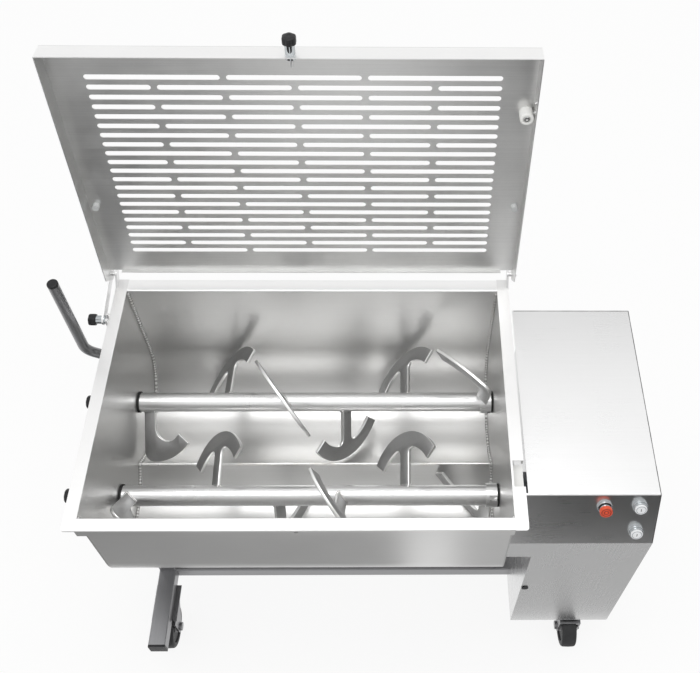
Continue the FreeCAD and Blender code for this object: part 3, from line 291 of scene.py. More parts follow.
finishes = {
    "polished_sheet": steel("cabinetSheet", dark=(0.76, 0.76, 0.76), light=(0.82, 0.82, 0.82), grain=alongZ,
                            gloss=0.27, glossGrain=0.04, glossSmudge=0.08, scratchTone=0.08, relief=0.002),
    "hood": steel("hoodSheet", dark=(0.72, 0.72, 0.72), light=(0.8, 0.8, 0.8), gloss=0.28, glossGrain=0.03,
                  glossSmudge=0.06, scratchTone=0.05, relief=0.001),
    # near-black steel for the thin line along the hood's edges: painted shade
    "paintedEdgeShade": steel("paintedEdgeShade", dark=(0.1, 0.1, 0.1), light=(0.16, 0.16, 0.16)),
    "tank_steel": steel("tankSheet", gloss=0.33),
    # above their rim height the end walls, the trough sheet and the lid are painted lighter: a painted highlight
    # on their tops
    "endWall": steel("endWallSheet", dark=(0.5, 0.498, 0.49), light=(0.7, 0.698, 0.69), gloss=0.36,
                     smudgeScale=12.0, rim=0.817, rimColour=(0.79, 0.788, 0.785)),
    "tankSheet": steel("troughSheet", dark=(0.71, 0.708, 0.7), light=(0.84, 0.838, 0.83), gloss=0.37,
                       rim=0.817, rimColour=(0.9, 0.898, 0.895)),
    "lid": steel("lidSheet", dark=(0.6, 0.6, 0.595), light=(0.88, 0.88, 0.87), gloss=0.36, smudgeScale=16.0,
                 scratchLevel=0.72, scratchTone=0.35, relief=0.08, rim=1.4222, rimColour=(0.97, 0.97, 0.965)),
    "frame_steel": steel("frameTube", dark=(0.2, 0.2, 0.205), light=(0.34, 0.34, 0.35), grain=alongY,
                         gloss=0.34),
    "turned_steel": steel("turnedSteel", dark=(0.74, 0.74, 0.74), light=(0.86, 0.86, 0.86),
                          grain=(700, 90, 90), gloss=0.3, glossSmudge=0.05, scratchTone=0.1, relief=0.02),
    "gear_steel": steel("gearSteel", dark=(0.2, 0.2, 0.21), light=(0.32, 0.32, 0.33), grain=(300, 300, 300),
                        gloss=0.42),
    "chrome_trim": steel("chromeTrim", dark=(0.36, 0.385, 0.4), light=(0.56, 0.585, 0.6),
                         grain=(200, 200, 200), gloss=0.12, glossGrain=0.05, glossSmudge=0.06, relief=0.03),
    "brightScrew": steel("brightScrew", dark=(0.6, 0.6, 0.6), light=(0.8, 0.8, 0.8), grain=(300, 300, 300),
                         gloss=0.2),
    "paddle": cutPlateSteel("paddlePlate", {
        "dark": (0.46, 0.46, 0.46), "light": (0.62, 0.62, 0.62), "gloss": 0.46, "glossMill": 0.12,
        "millScale": 90.0, "millShare": 0.6, "cloudScale": 14.0, "streak": (30, 900, 900),
        "streakTurn": (0.4, 0.2, 0.9), "streakOnFace": 0.2, "relief": 0.25, "reliefDepth": 0.0003,
        "edgeColour": (0.93, 0.93, 0.92), "edgeShine": 0.16}),
    "weld": weldSteel("weldBead", {
        "heatScale": 24.0, "pitScale": 420.0, "pitLevel": 0.64, "pitTone": 0.6, "gloss": 0.26,
        "glossPit": 0.2, "relief": 0.5, "reliefDepth": 0.0006, "valleyShadeTone": 0.85,
        "slagAndShadeColour": (0.1, 0.098, 0.095),
        "heatStops": [(0.3, (0.9, 0.9, 0.89)), (0.5, (0.96, 0.955, 0.945)), (0.68, (0.86, 0.84, 0.81)),
                      (0.82, (0.7, 0.7, 0.73))]}),
    "wheelCore": plastic("wheelCore", dark=(0.2, 0.2, 0.205), light=(0.28, 0.28, 0.285), gloss=0.45,
                         pebble=700.0, wearScale=30.0, relief=0.2),
    "cast_housing": plastic("paintedCasting", dark=(0.33, 0.36, 0.39), light=(0.44, 0.47, 0.5), gloss=0.42,
                            pebble=300.0, wearScale=30.0, relief=0.35),
    "black_plastic": plastic("blackPlastic", dark=(0.012, 0.012, 0.013), light=(0.03, 0.03, 0.032),
                             gloss=0.34, specular=0.22, pebble=1500.0, wearScale=60.0, relief=0.2),
    "white_plastic": plastic("whiteNylon", dark=(0.72, 0.72, 0.7), light=(0.84, 0.84, 0.82), gloss=0.4,
                             pebble=1200.0, wearScale=90.0, relief=0.1),
    "grey_plastic": plastic("enclosureGrey", dark=(0.45, 0.46, 0.46), light=(0.56, 0.57, 0.57), gloss=0.5,
                            pebble=900.0, wearScale=25.0, relief=0.25),
    # the stop and white buttons darken their grooves: painted shade in the grooves
    "red_plastic": plastic("stopRed", dark=(0.62, 0.06, 0.02), light=(0.78, 0.11, 0.04), gloss=0.3,
                           pebble=900.0, wearScale=120.0, relief=0.06, inlay=(0.26, 0.012, 0.006)),
    "white_button": plastic("buttonWhite", dark=(0.74, 0.75, 0.76), light=(0.84, 0.85, 0.86), gloss=0.28,
                            pebble=900.0, wearScale=120.0, relief=0.06, inlay=(0.3, 0.32, 0.34)),
    "black_rubber": plastic("sealRubber", dark=(0.015, 0.015, 0.015), light=(0.04, 0.04, 0.04), gloss=0.6,
                            specular=0.25, pebble=700.0, wearScale=40.0, relief=0.4),
    "grey_tread": plastic("wheelTread", dark=(0.02, 0.02, 0.021), light=(0.05, 0.05, 0.052), gloss=0.5,
                          specular=0.25, pebble=500.0, wearScale=30.0, relief=0.4),
}
# Frame parts that look different from their material slot
ownFinish = {"lid_pan": "lid", "tank_shell": "tankSheet", "tank_end_left": "endWall",
             "tank_end_right": "endWall", "lid_sensor": "white_plastic", "lid_rest_pads": "grey_plastic"}
for row in frame["record"]["subparts"]:
    part = frame["nodes"][row["node"]]
    part.data.materials.clear()
    part.data.materials.append(finishes[ownFinish.get(row["node"], row["material_slot"])])
print("finishes on", len(frame["nodes"]), "frame parts")


# Mesh building. A shell is a grid of points: rows along the piece, columns round it, both ends closed.
def closedShell(grid):
    rows, columns = grid.shape[:2]
    row, column = np.meshgrid(np.arange(rows - 1), np.arange(columns), indexing="ij")
    here, across = row * columns + column, row * columns + (column + 1) % columns
    quads = np.stack([here, across, across + columns, here + columns], -1).reshape(-1, 4)
    points = grid.reshape(-1, 3)
    first, last = np.arange(columns)[::-1], np.arange(columns) + (rows - 1) * columns
    # signed volume, from each quad's two triangles and each cap's fan, tells which way the faces point
    fans = [np.stack([np.full(columns - 2, cap[0]), cap[1:-1], cap[2:]], -1) for cap in (first, last)]
    triangles = np.concatenate([quads[:, :3], quads[:, [0, 2, 3]], *fans])
    a, b, c = (points[triangles[:, k]] for k in range(3))
    faces = quads.tolist() + [first.tolist(), last.tolist()]
    if np.einsum("ij,ij->i", a, np.cross(b, c)).sum() < 0:
        faces = [face[::-1] for face in faces]
    return points, faces


def makePiece(name, shells, finish, body, replaced=(), edges=None, sharp=35.0):
    # one object from its shells; it rides on its body and takes the finish it is given
    points, faces, start = [], [], 0
    for shellPoints, shellFaces in shells:
        points.append(shellPoints)
        faces += [[corner + start for corner in face] for face in shellFaces]
        start += len(shellPoints)
    mesh = bpy.data.meshes.new(name)
    mesh.from_pydata(np.concatenate(points).tolist(), [], faces)
    mesh.shade_smooth()
    mesh.set_sharp_from_angle(angle=math.radians(sharp))
    if edges is not None:
        mesh.attributes.new("edge", "FLOAT", "POINT").data.foreach_set("value", np.concatenate(edges))
    piece = bpy.data.objects.new(name, mesh)
    bpy.context.scene.collection.objects.link(piece)
    mesh.materials.append(finishes[finish])
    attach(piece, body)
    if replaced:
        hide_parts(*replaced)


def turnedShell(place, axis, profile, columns=48, outline=None):
    # profile rows (distance along the axis, radius), in mm, swept round; outline(angle) scales the radius
    first = np.cross(axis, axisX if abs(axis[0]) < 0.9 else axisZ)
    first /= np.linalg.norm(first)
    second = np.cross(axis, first)
    angle = np.linspace(0, 2 * np.pi, columns, endpoint=False)
    along, radius = np.array(profile, float).T / 1000
    ringShape = np.ones(columns) if outline is None else outline(angle)
    spokes = np.cos(angle)[:, None] * first + np.sin(angle)[:, None] * second
    grid = (np.array(place) + along[:, None, None] * axis
            + (radius[:, None] * ringShape)[:, :, None] * spokes)
    return closedShell(grid)


def hexOutline(angle):
    # distance to a hexagon's side over its corner radius
    return math.cos(math.pi / 6) / np.cos(np.mod(angle, math.pi / 3) - math.pi / 6)


def squareOutline(angle):
    # a rounded square: cosine and sine to the eighth, added, to the power of minus one eighth
    return (np.abs(np.cos(angle)) ** 8 + np.abs(np.sin(angle)) ** 8) ** (-1 / 8)


def lobeOutline(angle):
    # six soft lobes: a wave whose tops are broad and whose valleys are narrow
    wave = 0.5 + 0.5 * np.cos(6 * angle)
    return 0.885 + 0.115 * np.sqrt(wave + 0.02)


def gripOutline(count, depth, power):
    # count dips round the rim, each the depth times a power of the cosine where that is above zero
    def outline(angle):
        return 1 - depth * np.clip(np.cos(count * angle), 0, 1) ** power
    return outline


def rounded(length, radius, edge, steps=4, start=0.0):
    # profile of a button-like shape: side, a quarter-round edge of the given radius, and a flat face
    bend = np.linspace(0, np.pi / 2, steps + 1)
    lead = edge * 0.25
    side = [(start, radius - lead), (start + lead, radius)]
    crown = [(length - edge + edge * math.sin(a), radius - edge + edge * math.cos(a)) for a in bend]
    return side + crown + [(length, (radius - edge) * 0.5)]


# Weld beads. The sines' sizes and rates a metre make the ripples uneven.
beadLook = {"columns": 10, "rowsPerRipple": 4, "wander": (1.2, 83.0),
            "drifts": ((0.06, 61.0), (0.05, 173.0)), "endRows": 3, "endStart": 0.3, "sharp": 60.0}


def beadAlong(path, radius, pitch, ripple, columns=beadLook["columns"]):
    # round bead along a path, its radius waving with the distance run as a weld's ripples do;
    # gives the shell and the wave, 1 on the crests and 0 in the valleys
    path = np.array(path, float)
    steps = np.linalg.norm(np.diff(path, axis=0), axis=1)
    run = np.concatenate([[0], np.cumsum(steps)])
    places = np.arange(0, run[-1], pitch / (1000 * beadLook["rowsPerRipple"]))
    line = np.stack([np.interp(places, run, path[:, k]) for k in range(3)], -1)
    heading = np.gradient(line, axis=0)
    heading /= np.linalg.norm(heading, axis=1)[:, None]
    side = np.cross(heading, axisX if abs(heading[:, 0]).max() < 0.9 else axisZ)
    side /= np.linalg.norm(side, axis=1)[:, None]
    above = np.cross(heading, side)
    wander, wanderRate = beadLook["wander"]
    wave = np.abs(np.sin(np.pi * places / (pitch / 1000) + wander * np.sin(places * wanderRate)))
    drift = sum(size * np.sin(places * rate) for size, rate in beadLook["drifts"])
    wide = radius / 1000 * (1 - ripple + ripple * wave + drift)
    fromEnd = np.minimum(np.arange(len(places)), np.arange(len(places))[::-1])
    taper = np.minimum(1, fromEnd / beadLook["endRows"] + beadLook["endStart"])
    angle = np.linspace(0, 2 * np.pi, columns, endpoint=False)
    ringPoints = np.cos(angle)[None, :, None] * side[:, None] + np.sin(angle)[None, :, None] * above[:, None]
    return closedShell(line[:, None] + (wide * taper)[:, None, None] * ringPoints), np.repeat(wave, columns)


def makeWelds(name, beads, body):
    shells, crests = zip(*beads)
    makePiece(name, shells, "weld", body, edges=crests, sharp=beadLook["sharp"])


# Paddles: anchor-shaped plates with rounded rims. A blade is (its circle's centre, outer radius, inner
# radius, reach in degrees each way).
paddleLook = {
    "sheet": 7.0, "stem": 29.0, "stemStart": 17.8, "fillet": 12.0,
    "endFillet": {1: 30.0, -1: 12.0}, "heel": 22.0, "rim": 1.1, "slant": 53.0,
    "middlePlaces": (-201.75, -67.25, 67.25, 201.75), "endPlace": 375.0,
    "shortBlade": (10.0, 125.7, 93.0, 55.0), "longBlade": (-105.0, 240.0, 207.0, 36.0),
    "shaftRadius": 21.2, "bead": 2.4, "beadPitch": 3.0, "beadRipple": 0.14, "beadColumns": 8,
    "beadGaps": (0.6, 0.8), "beadCorner": 0.35,
}
# Each end paddle is (phase, slant)
paddleSets = {
    "front": {"y": 0.0, "phase": 10.0, "step": -120.0, "left": (128.0, 42.0), "right": (-93.0, -43.0)},
    "rear": {"y": shared["shaftSpacing"], "phase": -8.0, "step": 120.0, "left": (-138.0, -22.0),
             "right": (104.0, 43.0)},
}


def arcPoints(centre, radius, start, end, count):
    angle = np.radians(np.linspace(start, end, count))
    return np.stack([centre[0] + radius * np.sin(angle), centre[1] + radius * np.cos(angle)], -1)


def halfOutline(arc, look, fillet, back=0.0):
    # right half of the plate: up the stem, round the fillet, along the blade's inner arc, back on the outer
    centre, outer, inner, reach = arc
    half = look["stem"] / 2
    rise = math.sqrt((inner - fillet) ** 2 - (half + fillet) ** 2)
    meets = math.degrees(math.atan2(half + fillet, rise))
    bend = arcPoints((half + fillet, centre + rise), fillet, -90, meets, 9)
    return np.concatenate([[(half, look["stemStart"])], bend,
                           arcPoints((0, centre), inner, meets, reach, 18)[1:],
                           arcPoints((0, centre), outer, reach, back, 24)])


def plateOutline(arc, sides, look):
    # sides is 2 for a blade both ways from its stem, and 1 or -1 for a blade one way
    if sides == 2:
        right = halfOutline(arc, look, look["fillet"])
        return np.concatenate([right, (right * (-1, 1))[::-1][1:]])
    # one-sided: the heel, opposite the blade, is rounded from the outer arc into the stem's side
    half, heel = look["stem"] / 2, look["heel"]
    rise = math.sqrt((arc[1] - heel) ** 2 - (heel - half) ** 2)
    leaves = math.degrees(math.atan2(heel - half, rise))
    corner = arcPoints((heel - half, arc[0] + rise), heel, leaves, -90, 10)[1:]
    whole = np.concatenate([halfOutline(arc, look, look["endFillet"][sides], leaves), corner,
                            [(-half, look["stemStart"])]])
    return whole if sides == 1 else (whole * (-1, 1))[::-1]


def plateShell(outline, look, place, chord, radial, normal):
    # six rows through the thickness, the outer ones drawn in by the rim, along each corner's mitre
    before, after = outline - np.roll(outline, 1, 0), np.roll(outline, -1, 0) - outline
    before /= np.linalg.norm(before, axis=1)[:, None]
    after /= np.linalg.norm(after, axis=1)[:, None]
    inward = np.stack([-(before + after)[:, 1], (before + after)[:, 0]], -1)
    square = np.stack([-before[:, 1], before[:, 0]], -1)
    inward /= np.maximum(np.einsum("ij,ij->i", inward, square), 0.5)[:, None]
    thick, rim = look["sheet"] / 2, look["rim"]
    side = [(thick - rim, 0, 1), (thick - rim * 0.4, rim * 0.35, 1), (thick, rim, 0)]
    rows, edge = [], []
    for height, drawn, bright in [(-height, drawn, bright) for height, drawn, bright in side[::-1]] + side:
        flat = (outline + inward * drawn) / 1000
        rows.append(place + flat[:, :1] * chord + flat[:, 1:] * radial + height / 1000 * normal)
        edge.append(np.full(len(flat), float(bright)))
    return closedShell(np.stack(rows)), np.concatenate(edge)


def footBead(look, place, lean, chord, radial, normal):
    # weld round the stem's foot: a soft rectangle laid on the shaft's surface, the cosine and the sine
    # each brought nearer to one by a small power
    angle = np.linspace(0, 2 * np.pi, 61)
    soft = [np.sign(wave) * np.abs(wave) ** look["beadCorner"] for wave in (np.cos(angle), np.sin(angle))]
    across = (look["stem"] / 2 + look["beadGaps"][0]) * soft[0]
    through = (look["sheet"] / 2 + look["beadGaps"][1]) * soft[1]
    lateral = across * math.sin(lean) + through * math.cos(lean)
    height = np.sqrt(look["shaftRadius"] ** 2 - lateral ** 2)
    path = place + (across[:, None] * chord + through[:, None] * normal + height[:, None] * radial) / 1000
    return beadAlong(path, look["bead"], look["beadPitch"], look["beadRipple"], look["beadColumns"])


def makePaddles(setName, lay, look):
    shells, edges, welds = [], [], []
    places = [(-look["endPlace"], *lay["left"], 1, look["shortBlade"])]
    places += [(x, lay["phase"] + k * lay["step"], look["slant"], 2, look["shortBlade"])
               for k, x in enumerate(look["middlePlaces"])]
    places.append((look["endPlace"], *lay["right"], -1, look["longBlade"]))
    for x, phase, slant, sides, arc in places:
        turn, lean = math.radians(phase), math.radians(slant)
        radial = np.array([0, math.cos(turn), math.sin(turn)])
        tangent = np.array([0, -math.sin(turn), math.cos(turn)])
        chord = axisX * math.cos(lean) + tangent * math.sin(lean)
        normal = np.cross(chord, radial)
        place = tankPoint(x, lay["y"], shared["shaftHeight"])
        shell, edge = plateShell(plateOutline(arc, sides, look), look, place, chord, radial, normal)
        shells.append(shell)
        edges.append(edge)
        # the right end paddle stands on the shaft's wider collar, which would hide its bead
        if x < look["endPlace"]:
            welds.append(footBead(look, place, lean, chord, radial, normal))
    body = setName + "_rotor"
    makePiece(setName + "Paddles", shells, "paddle", body, [setName + "_paddles"], edges)
    makeWelds(setName + "PaddleWelds", welds, body)


for setName, lay in paddleSets.items():
    makePaddles(setName, lay, paddleLook)
print("paddles made")


# Weld seams where the end walls meet the tank sheet, and along the ridge between the troughs
seamLook = {"halfLength": 400.0, "top": 816.0, "trough": 140.0, "bead": 4.0, "pitch": 8.0, "ripple": 0.3,
            "inset": 1.9, "ridgeBead": 3.0, "ridgeRipple": 0.03, "ridgeSunk": 0.6, "ridgeGap": 1.0,
            "ridgeCrest": 0.97}


def makeSeams(look):
    # the beads' middle line lies a little inside the sheet, so that they stay hidden from outside
    height, rear, inset = shared["shaftHeight"], shared["shaftSpacing"], look["inset"]
    radius = look["trough"] - inset
    dip = math.degrees(math.acos(rear / 2 / radius))
    # walls and troughs in (y, z): down the rear wall, round both troughs, up the front wall
    rearArc = np.radians(np.linspace(0, -180 + dip, 40))
    frontArc = np.radians(np.linspace(-dip, -180, 40))
    section = np.concatenate([[(rear + radius, look["top"])],
                              np.stack([rear + radius * np.cos(rearArc), height + radius * np.sin(rearArc)], -1),
                              np.stack([radius * np.cos(frontArc), height + radius * np.sin(frontArc)], -1),
                              [(-radius, look["top"])]])
    beads = []
    for way in (-1, 1):
        path = np.insert(section, 0, way * (look["halfLength"] - inset), axis=1) / 1000 + tankOrigin
        beads.append(beadAlong(path, look["bead"], look["pitch"], look["ripple"]))
    ridge = height - math.sqrt(look["trough"] ** 2 - (rear / 2) ** 2)
    ends = [tankPoint(way * (look["halfLength"] - look["ridgeGap"]), rear / 2, ridge - look["ridgeSunk"])
            for way in (-1, 1)]
    shell, wave = beadAlong(ends, look["ridgeBead"], look["pitch"], look["ridgeRipple"])
    # the ridge's bead is dressed smooth, so its valleys get almost none of the painted shade
    beads.append((shell, np.maximum(wave, look["ridgeCrest"])))
    makeWelds("tankSeams", beads, "tank")


makeSeams(seamLook)
print("seams made")


# Push buttons on the control band. A place is (x, distance down the band), a sleeve (radius, top), a cap
# (radius, foot, top) and a ring (radius, depth).
buttonFace = {"bezel": 4.6, "sleeveEdge": 1.2, "columns": 48, "grooveShade": 1.6, "mark": (0.7, 3.2),
              "markRows": (-0.6, 0.02)}
whiteButton = {"sleeve": (13.6, 9.5), "cap": (11.8, 7.0, 13.0), "finish": "white_button",
               "rings": ((9.2, 0.35),), "ringWidth": 0.6}
buttonLooks = {
    "stop_button": {"place": (586.0, 30.0), "body": "stop", "sleeve": (11.4, 11.0), "cap": (12.5, 10.0, 17.5),
                    "finish": "red_plastic", "rings": ((9.0, 1.1), (4.4, 1.1)), "ringWidth": 0.9},
    "start_button": {**whiteButton, "place": (654.0, 28.0), "body": "start"},
    "reverse_button": {**whiteButton, "place": (654.0, 95.0), "body": "reverse"},
}


def makeButton(node, look):
    slope = np.array([0, *np.subtract(shared["bandFoot"], shared["bandTop"])])
    slope /= np.linalg.norm(slope)
    outward = np.cross(slope, axisX)
    x, down = look["place"]
    place = tankPoint(x, *shared["bandTop"]) + slope * down / 1000
    radius, low, top = look["cap"]
    # face with shallow grooves: each ring is a dip, its depth times a bell curve about its radius
    reach = np.linspace(radius - 1.2, 0.4, 32)
    dips = sum(depth * np.exp(-((reach - ring) / look["ringWidth"]) ** 2) for ring, depth in look["rings"])
    side = [(low, radius - 1.0), (low + 0.6, radius), (top - 1.3, radius), (top - 0.4, radius - 0.4)]
    cap = np.concatenate([side, np.column_stack([top - dips, reach])])
    # painted shade in the grooves: the deeper the groove, the darker its colour
    shade = np.minimum(1.0, buttonFace["grooveShade"] * dips / look["rings"][0][1])
    groove = np.concatenate([np.zeros(len(side)), shade])
    columns = buttonFace["columns"]
    makePiece(node + "Cap", [turnedShell(place, outward, cap, columns)], look["finish"], look["body"],
              [node], [np.repeat(groove, columns)])
    wide, high = look["sleeve"]
    sleeve = rounded(high, wide, buttonFace["sleeveEdge"], start=buttonFace["bezel"])
    makePiece(node + "Sleeve", [turnedShell(place, outward, sleeve)], "chrome_trim", look["body"])
    if look["finish"] == "white_button":
        # plain upright bar, the generic mark for on
        bar = np.array([(-1, -1), (1, -1), (1, 1), (-1, 1)]) * buttonFace["mark"]
        rows = [place + (bar[:, :1] * axisX - bar[:, 1:] * slope + outward * (top + height)) / 1000
                for height in buttonFace["markRows"]]
        makePiece(node + "Mark", [closedShell(np.stack(rows))], "black_plastic", look["body"])


for node, look in buttonLooks.items():
    makeButton(node, look)
print("buttons made")


# The lid is drawn closed and stands open at rest, turned round its hinge by this angle
lidAngle = math.radians(-96.85)


def lidWay(x, y, z):
    # direction on the closed lid, turned with it
    return np.array([x, y * math.cos(lidAngle) - z * math.sin(lidAngle),
                     y * math.sin(lidAngle) + z * math.cos(lidAngle)])


def lidPoint(x, y, z):
    # place on the closed lid, in mm, carried to where the open lid holds it
    hingeY, hingeZ = shared["hinge"]
    return tankPoint(*(lidWay(x, y - hingeY, z - hingeZ) + (0, hingeY, hingeZ)))


# Spring plungers: steel pin, lobed black knob. Latch on the lid's front, stay on its left arm. A knob stands
# on its place and points outward; its pin runs between two distances along outward.
knobLook = {"radius": 13.0, "length": 16.0, "hollow": 9.3, "bore": 7.6, "pin": 3.9, "columns": 72,
            "pinColumns": 32}
plungerLooks = {
    "latch_plunger": {"body": "latch", "place": lidPoint(0, -213.5, 812), "outward": lidWay(0, -1, 0),
                      "pinEnds": (-47.5, 11.5)},
    "stay_plunger": {"body": "stay", "place": tankPoint(-450.5, 288, 818), "outward": -axisX,
                     "pinEnds": (-21.2, 11.5)},
}


def knobProfile(look):
    # hollow underside, waist, broad grip and a domed face with a small centre dish
    r, n, bore, hollow = look["radius"], look["length"], look["bore"], look["hollow"]
    return [(bore, 0.5), (bore, hollow), (0.3, hollow), (0.0, hollow + 0.4), (0.0, r - 1.8), (1.2, r - 0.4),
            (3.0, r), (n - 4.0, r), (n - 1.8, r - 0.6), (n - 0.6, r - 2.2), (n, r - 4.6), (n, 4.2),
            (n - 0.7, 3.6), (n - 0.7, 0.4)]


def makePlunger(node, lay, look):
    place, outward, (start, end), pin = lay["place"], lay["outward"], lay["pinEnds"], look["pin"]
    knob = turnedShell(place, outward, knobProfile(look), look["columns"], lobeOutline)
    makePiece(node + "Knob", [knob], "black_plastic", lay["body"], [node])
    profile = [(start, pin - 1.0), (start + 1.2, pin), (end - 0.5, pin), (end, pin - 0.5)]
    makePiece(node + "Pin", [turnedShell(place, outward, profile, look["pinColumns"])], "turned_steel",
              lay["body"])


for node, lay in plungerLooks.items():
    makePlunger(node, lay, knobLook)


# Support pins: steel pin and black knob at the tank's left side
supportLook = {"knobStart": -492.0, "knobEnd": -517.0, "knob": 15.0, "edge": 4.0, "flutes": (8, 0.05, 2),
               "pinEnd": -372.0, "pin": 9.95}


def makeSupportPin(side, y, look):
    place, body, pin = tankPoint(look["knobStart"], y, shared["shaftHeight"]), side + "_pin", look["pin"]
    knob = rounded(look["knobStart"] - look["knobEnd"], look["knob"], look["edge"], steps=6)
    makePiece(side + "SupportKnob", [turnedShell(place, -axisX, knob, 96, gripOutline(*look["flutes"]))],
              "black_plastic", body, [side + "_support_pin"])
    reach = look["pinEnd"] - look["knobStart"]
    profile = [(-1, pin - 0.5), (-0.5, pin), (reach - 2.5, pin), (reach, pin - 2.5)]
    makePiece(side + "SupportPin", [turnedShell(place, axisX, profile)], "turned_steel", body)


makeSupportPin("front", 0.0, supportLook)
makeSupportPin("rear", shared["shaftSpacing"], supportLook)
print("plungers and pins made")


# Interlock puck: white disc with a sunk screw, and the bracket's two screws on the lid's right flange.
# A screw is (radius, height, socket).
puckLook = {"place": (418.3, -56.0), "radius": 13.0, "low": 807.0, "high": 830.0, "well": 7.4,
            "wellDepth": 3.2, "screw": (5.8, 2.8, 2.4), "flange": 432.0, "flangeScrew": (3.6, 2.6, 1.6),
            "flangePlaces": ((-92.0, 809.0), (-71.0, 809.0)), "knurl": (24, 0.03, 1)}


def capScrew(place, axis, radius, height, socket):
    # round head with a knurled side and a round socket sunk in its face
    head = [(-0.5, radius - 0.3), (0, radius), (height - 0.8, radius), (height, radius - 0.8),
            (height, socket * 1.16), (height - 0.4, socket), (height - 2.4, socket), (height - 2.4, 0.2)]
    return turnedShell(place, axis, head, 48, gripOutline(*puckLook["knurl"]))


def makePuck(look):
    deep, radius, well = look["high"] - look["low"], look["radius"], look["well"]
    place, out = lidPoint(*look["place"], look["high"]), lidWay(0, 0, -1)
    floor = deep - look["wellDepth"]
    profile = [(0, radius), (deep - 2, radius), (deep - 0.9, radius - 0.35), (deep - 0.2, radius - 1.2),
               (deep, radius - 2.2), (deep, well + 0.4), (deep - 0.4, well), (floor, well), (floor, 0.3)]
    makePiece("puckBody", [turnedShell(place, out, profile, 64)], "white_plastic", "lid",
              ["interlock_puck"])
    heads = [capScrew(place + out * floor / 1000, out, *look["screw"])]
    for y, z in look["flangePlaces"]:
        heads.append(capScrew(lidPoint(look["flange"], y, z), -axisX, *look["flangeScrew"]))
    makePiece("puckScrews", heads, "brightScrew", "lid")


makePuck(puckLook)


# Hood of the cabinet, one sheet with a soft fold between top and band, and a thin near-black line along its
# edges, which is painted shade
hoodLook = {"thick": 2.0, "fold": 5.0, "topFrom": 436.0, "bandFrom": 408.0, "right": 693.0, "shadeLine": 1.0,
            "shadeLineSunk": 0.6, "shadeLineInside": 0.1, "shadeLinePitch": 6.0}


def hoodSection(look, withTop):
    # outline in (y, z): along the top, round the fold with its outer radius, down the band, and back inside
    (topY, topZ), foot = shared["bandTop"], np.array(shared["bandFoot"])
    fold, thick = look["fold"], look["thick"]
    along = foot - (topY, topZ)
    along /= np.linalg.norm(along)
    out = np.array([along[1], -along[0]])
    middle = np.array([topY + fold * (1 - out[1]) / -out[0], topZ - fold])
    bend = np.linspace(math.pi / 2, math.atan2(out[1], out[0]), 9)
    spoke = np.stack([np.cos(bend), np.sin(bend)], -1)
    rear = [(shared["cabinetRear"], topZ)] if withTop else []
    rearInside = [(shared["cabinetRear"], topZ - thick)] if withTop else []
    footInside = foot - (thick / out[0], 0)
    return np.array([*rear, *(middle + fold * spoke), foot, footInside,
                     *(middle + (fold - thick) * spoke)[::-1], *rearInside])


def makeHood(look):
    shells = []
    for withTop, start, end in ((True, look["topFrom"], look["right"]),
                                (False, look["bandFrom"], look["topFrom"])):
        section = hoodSection(look, withTop)
        rows = [np.insert(section, 0, x, axis=1) / 1000 + tankOrigin for x in (start, end)]
        shells.append(closedShell(np.stack(rows)))
    makePiece("cabinetHood", shells, "hood", "stand", ["cabinet_hood"])
    # the painted shade line runs along the top's rear and right edges and down the band
    right, shadeLine = look["right"] - look["shadeLine"] - look["shadeLineInside"], look["shadeLine"]
    bandY, topZ = shared["bandTop"]
    rear, high = shared["cabinetRear"] - shadeLine, topZ - look["shadeLineSunk"]
    corners = [(look["topFrom"] + 1, rear, high), (right, rear, high), (right, bandY, high),
               (right, *shared["bandFoot"])]
    shadeLineShell = beadAlong([tankPoint(*corner) for corner in corners], shadeLine, look["shadeLinePitch"], 0.0)[0]
    makePiece("hoodEdgeShadeLine", [shadeLineShell], "paintedEdgeShade", "stand")


makeHood(hoodLook)
print("puck and hood made")


# Caster wheels: rubber tyre with a rounded tread on a dished core
casterLook = {"places": ((-378.0, -85.0), (-378.0, 275.0), (607.0, -85.0), (607.0, 275.0)), "trail": 34.0,
              "axle": 50.0, "radius": 50.0, "half": 18.0, "shoulder": 6.0, "crown": 0.6, "core": 37.0,
              "hub": 13.0, "hubHalf": 21.0}


def makeWheel(number, look):
    x, y = look["places"][number - 1]
    place = tankPoint(x, y - look["trail"], look["axle"])
    radius, half, core, bend = look["radius"], look["half"], look["core"], look["shoulder"]
    # tread: nearly flat across, with rounded shoulders
    shoulder = [(half - bend + bend * math.cos(a), radius - bend - look["crown"] + bend * math.sin(a))
                for a in np.radians(np.linspace(8, 90, 7))]
    right = [(half - 4, core - 0.5), (half - 1.2, core), (half, core + 3)] + shoulder
    tyre = [(-a, b) for a, b in right] + [(0.0, radius)] + right[::-1]
    body = f"wheel_{number}"
    makePiece(f"casterTyre_{number}", [turnedShell(place, axisX, tyre, 96)], "grey_tread", body,
              [f"caster_wheel_{number}"])
    hub, hubHalf = look["hub"], look["hubHalf"]
    right = [(hubHalf, hub - 6), (hubHalf, hub - 1), (hubHalf - 1, hub), (half - 9, hub + 3),
             (half - 11, hub + 9), (half - 10, core - 7), (half - 5, core - 2), (half - 4.4, core - 0.2)]
    disc = [(-a, b) for a, b in right] + right[::-1]
    makePiece(f"casterCore_{number}", [turnedShell(place, axisX, disc, 72)], "wheelCore", body)


for number in range(1, 5):
    makeWheel(number, casterLook)


